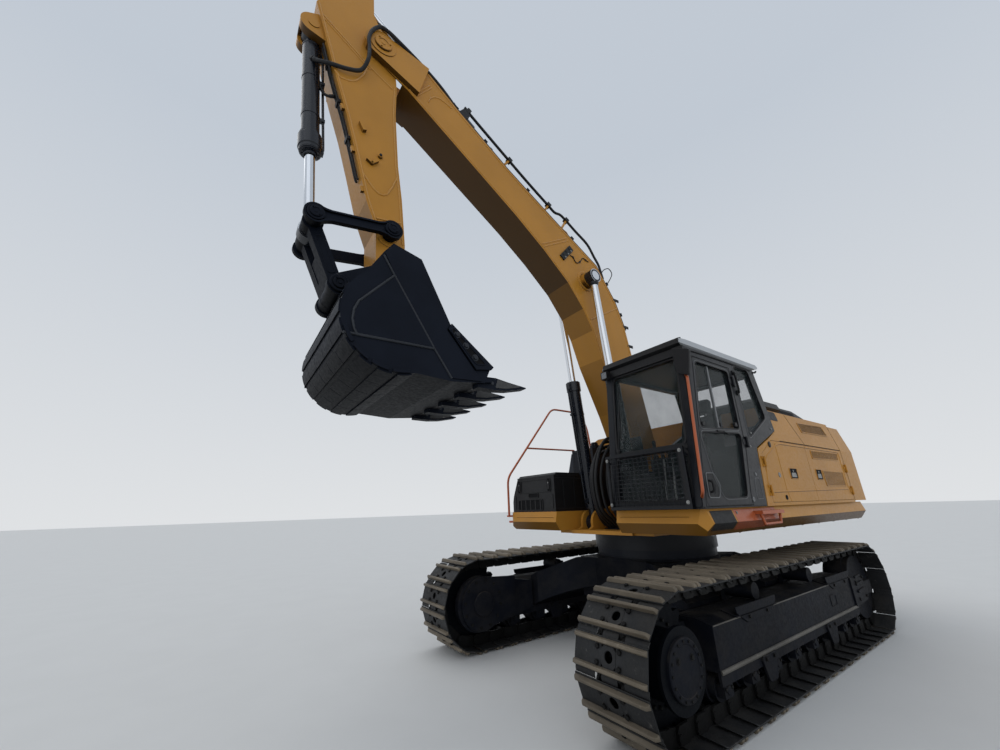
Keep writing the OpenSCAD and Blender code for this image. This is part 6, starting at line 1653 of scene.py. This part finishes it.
def cushion(low, high, place, seams=(), square=0.34, rows=26, cols=56):
    """Crowned closed pad in the box low to high of place's own axes, sunk along a line at each a of seams.
    The lower square is, the squarer the pad gets. Gives its points and faces."""
    c = [(a + b) / 2 for a, b in zip(low, high)]
    h = [(b - a) / 2 for a, b in zip(low, high)]

    def power(v, e):
        return math.copysign(abs(v) ** e, v)
    verts = []
    for i in range(rows + 1):
        t = -math.pi / 2 + math.pi * i / rows
        for j in range(cols):
            g = 2 * math.pi * j / cols
            ct, st = power(math.cos(t), square * 1.6), power(math.sin(t), square * 1.6)
            a, b, n = ct * power(math.cos(g), square), ct * power(math.sin(g), square), st
            dip = sum(0.055 * math.exp(-((a - q) / 0.045) ** 2) for q in seams)
            k = 1 - dip * (1 if abs(n) > 0.3 else 0.4)
            verts.append(place(c[0] + h[0] * a, c[1] + h[1] * b * (1 - 0.02 * dip), c[2] + h[2] * n * k))
    # The first and the last row are one point each
    verts = verts[:1] + verts[cols:-cols] + verts[-cols:-cols + 1]
    last, end = (rows - 2) * cols + 1, len(verts) - 1
    faces = [[i * cols + 1 + j, i * cols + 1 + (j + 1) % cols, (i + 1) * cols + 1 + (j + 1) % cols,
              (i + 1) * cols + 1 + j] for i in range(rows - 2) for j in range(cols)]
    faces += [[0, 1 + (j + 1) % cols, 1 + j] for j in range(cols)]
    faces += [[end, last + j, last + (j + 1) % cols] for j in range(cols)]
    return verts, faces


def seat_details():
    lean = math.radians(17)

    def back(a, b, n):
        """a runs up the backrest, n out of its front."""
        return (0.215 - math.sin(lean) * a + math.cos(lean) * n, b, 1.925 + math.cos(lean) * a
                + math.sin(lean) * n)
    specs = [
        ("seat_cushion", (0.175, 0.725, 1.835), (0.680, 1.175, 1.945), upright, (-0.45, 0.35)),
        ("seat_bolster_left", (0.180, 1.115, 1.850), (0.670, 1.188, 1.952), upright, ()),
        ("seat_bolster_right", (0.180, 0.712, 1.850), (0.670, 0.785, 1.952), upright, ()),
        ("backrest_cushion", (0.030, 0.735, -0.055), (0.620, 1.165, 0.055), back, (-0.35, 0.25, 0.7)),
        ("backrest_bolster_left", (0.060, 1.105, -0.045), (0.560, 1.182, 0.072), back, ()),
        ("backrest_bolster_right", (0.060, 0.718, -0.045), (0.560, 0.795, 0.072), back, ()),
        ("headrest_cushion", (0.655, 0.845, -0.050), (0.845, 1.055, 0.045), back, (0.0,)),
        ("armrest_pad_left", (0.260, 1.215, 2.010), (0.560, 1.290, 2.055), upright, ()),
        ("armrest_pad_right", (0.260, 0.610, 2.010), (0.560, 0.685, 2.055), upright, ()),
    ]
    for name, low, high, place, seams in specs:
        p = Piece()
        p.add(*cushion(low, high, place, seams))
        obj = p.done(name, CLOTH, "upper", angle=60)
    hard, grips, screen, metal = pieces(4)
    # Suspension base with bellows, seat pan, backrest frame and headrest posts
    hard.box((0.170, 0.750, 1.515), (0.460, 1.150, 1.560))
    for i in range(6):
        z = 1.562 + 0.040 * i
        k = 0.012 * (i % 2)
        hard.prism(soft_rect(0.180 + k, 0.760 + k, 0.450 - k, 1.140 - k, 0.04, 3), z, z + 0.041, facing_z)
    hard.prism([(0.150, 1.800), (0.655, 1.812), (0.672, 1.855), (0.150, 1.852)], 0.728, 1.172)
    hard.prism([(0.085, 1.850), (0.175, 1.850), (0.190, 1.960), (0.060, 2.420), (0.020, 2.520),
                (-0.010, 2.500), (0.075, 1.960)], 0.742, 1.158)
    for y in (0.900, 1.000):
        metal.tube([(0.040, y, 2.480), (0.000, y, 2.640)], 0.009, 10)
    # Side consoles with their arm boxes, keypads and switch rows
    for y0, y1 in ((0.602, 0.698), (1.202, 1.298)):
        box = [(0.255, 1.515), (0.595, 1.515), (0.640, 1.720), (0.700, 1.960), (0.690, 2.012), (0.235, 2.012),
               (0.205, 1.960)]
        hard.prism(smooth_outline(box, 0.025), y0, y1)
        for i in range(4):
            x = 0.575 + 0.026 * i
            for y in (y0 + 0.014, y0 + 0.062):
                grips.box((x, y, 2.010), (x + 0.018, y + 0.020, 2.018))
        # Joystick: bellows boot, shaft and shaped grip
        x, y = 0.640, (y0 + y1) / 2
        boot = [(0.006 * i, 0.040 - 0.0018 * i + 0.004 * (i % 2)) for i in range(13)]
        grips.lathe((x, y, 2.008), (0.02, 0, 0.992), boot, 24)
        grips.lathe((x + 0.0015, y, 2.080), (0.0285, 0, 1), [(0, 0.010), (0.030, 0.012), (0.045, 0.019),
                                                             (0.075, 0.021), (0.105, 0.018), (0.130, 0.022),
                                                             (0.150, 0.021), (0.158, 0.012)], 20)
    # Crossbar behind the windscreen, with its ends on the pillars
    metal.tube([(1.105, 0.560, 2.035), (1.075, 0.600, 2.055), (1.070, 1.340, 2.055), (1.100, 1.395, 2.035)],
               0.014, 12)
    # Monitor and its column at the right front pillar
    hard.prism(smooth_outline([(0.935, 1.520), (1.075, 1.520), (1.085, 1.980), (1.045, 2.070), (0.995, 2.070),
                               (0.960, 1.960)], 0.02, 3), 0.655, 0.745)
    hard.prism(smooth_outline([(1.000, 2.055), (1.035, 2.040), (1.060, 2.240), (1.025, 2.248)], 0.012, 3),
               0.642, 0.758)
    screen.prism([(0.9985, 2.075), (1.000, 2.068), (1.0235, 2.228), (1.022, 2.235)], 0.655, 0.745)
    # Travel levers and pedals
    for y in (0.905, 1.005):
        hard.prism(smooth_outline([(0.900, 1.530), (1.010, 1.565), (1.008, 1.577), (0.895, 1.542)], 0.005, 2),
                   y - 0.040, y + 0.040)
        metal.tube([(0.940, y, 1.545), (0.930, y, 1.720), (0.900, y, 1.900), (0.895, y, 2.000)], 0.009, 10)
        grips.lathe((0.895, y, 1.985), Z_AXIS, [(0, 0.013), (0.01, 0.016), (0.085, 0.017), (0.100, 0.012),
                                                (0.105, 0.001)], 18)
    hard.done("seat_frame_and_consoles", BLACK, "upper", 0.003, 2, replaces=("seat_and_consoles",))
    grips.done("control_grips", RUBBER, "upper", 0.001, 1)
    screen.done("monitor_screen", BLACK_AND_RECESS_SHADE, "upper")
    metal.done("lever_shafts", STEEL, "upper")


undercarriage_details()
ring_details()
cab_details()
mirror_details()
rail_details()
guard_details()
house_details()
hood_details()
weight_details()
skirt_details()
toolbox_details()
tank_details()
frame_details()
boom_details()
stick_details()
cylinder_details("boom_cylinder", (0.700, 1.340), (0.980, 4.510), (0.335, -0.335), 1.850, 0.168, 1, 0.012)
cylinder_details("arm_cylinder", (1.250, 5.270), (4.300, 7.500), (0.0,), 1.950, 0.240, -1, 0.030)
cylinder_details("bucket_cylinder", (4.700, 6.420), (4.433, 3.972), (0.0,), 1.560, 0.168, 1, 0.022, True)
linkage_details()
bucket_details()
arm_hoses()
seat_details()

# Stage, light and camera

floor_look = surface("plain_floor", (0.62, 0.62, 0.61), 0.85, bump=0.0, mottle=0.01, rough_var=0.02)
bpy.ops.mesh.primitive_plane_add(size=300, location=(0, 0, 0))
floor = bpy.context.object
floor.name = "stage_floor"
floor.data.materials.append(floor_look)
floor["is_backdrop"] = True

world = bpy.data.worlds.new("soft_sky")
bpy.context.scene.world = world
world.use_nodes = True
wn, wl = world.node_tree.nodes, world.node_tree.links
background = wn["Background"]
direction = wn.new("ShaderNodeTexCoord")
height = wn.new("ShaderNodeSeparateXYZ")
sky = wn.new("ShaderNodeValToRGB")
for element, position, colour in zip(sky.color_ramp.elements, (0.0, 0.7),
                                     ((0.86, 0.88, 0.90, 1), (0.62, 0.68, 0.76, 1))):
    element.position = position
    element.color = colour
wl.new(direction.outputs["Generated"], height.inputs[0])
wl.new(height.outputs["Z"], sky.inputs[0])
wl.new(sky.outputs[0], background.inputs["Color"])
background.inputs["Strength"].default_value = 0.86


def sun(name, direction, power, angle, colour=(1, 1, 1)):
    d = bpy.data.lights.new(name, "SUN")
    d.energy = power
    d.angle = math.radians(angle)
    d.color = colour
    o = bpy.data.objects.new(name, d)
    bpy.context.scene.collection.objects.link(o)
    o.rotation_euler = Vector(direction).to_track_quat("-Z", "Y").to_euler()


sun("soft_key", (-0.25, 0.35, -1.0), 0.70, 60, (1.0, 0.97, 0.93))
sun("soft_fill", (-0.7, -0.8, -0.55), 0.30, 60, (0.93, 0.96, 1.0))

# The camera that was fitted to the photograph
YAW, TILT, ROLL = math.radians(234.89), math.radians(18.94), math.radians(-1.78)
FOCAL, PICTURE_WIDTH, SENSOR = 389.7, 1000.0, 36.0
CAMERA_AT = P(4.724, 3.377, 1.539)
fwd = Vector((math.cos(YAW) * math.cos(TILT), math.sin(YAW) * math.cos(TILT), math.sin(TILT)))
right = Vector((math.sin(YAW), -math.cos(YAW), 0))
up = right.cross(fwd)
right2 = math.cos(ROLL) * right + math.sin(ROLL) * up
up2 = -math.sin(ROLL) * right + math.cos(ROLL) * up
cam_data = bpy.data.cameras.new("camera")
cam_data.lens = SENSOR * FOCAL / PICTURE_WIDTH
cam_data.sensor_width = SENSOR
cam_data.clip_end = 600
cam = bpy.data.objects.new("camera", cam_data)
bpy.context.scene.collection.objects.link(cam)
cam.matrix_world = Matrix([(right2[i], up2[i], -fwd[i], CAMERA_AT[i]) for i in range(3)] + [(0, 0, 0, 1)])
bpy.context.scene.camera = cam
bpy.context.scene.view_settings.view_transform = "Standard"

size["shown"] = [list(p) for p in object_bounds()]
{k: [list(map(float, p)) for p in v] for k, v in size.items()}
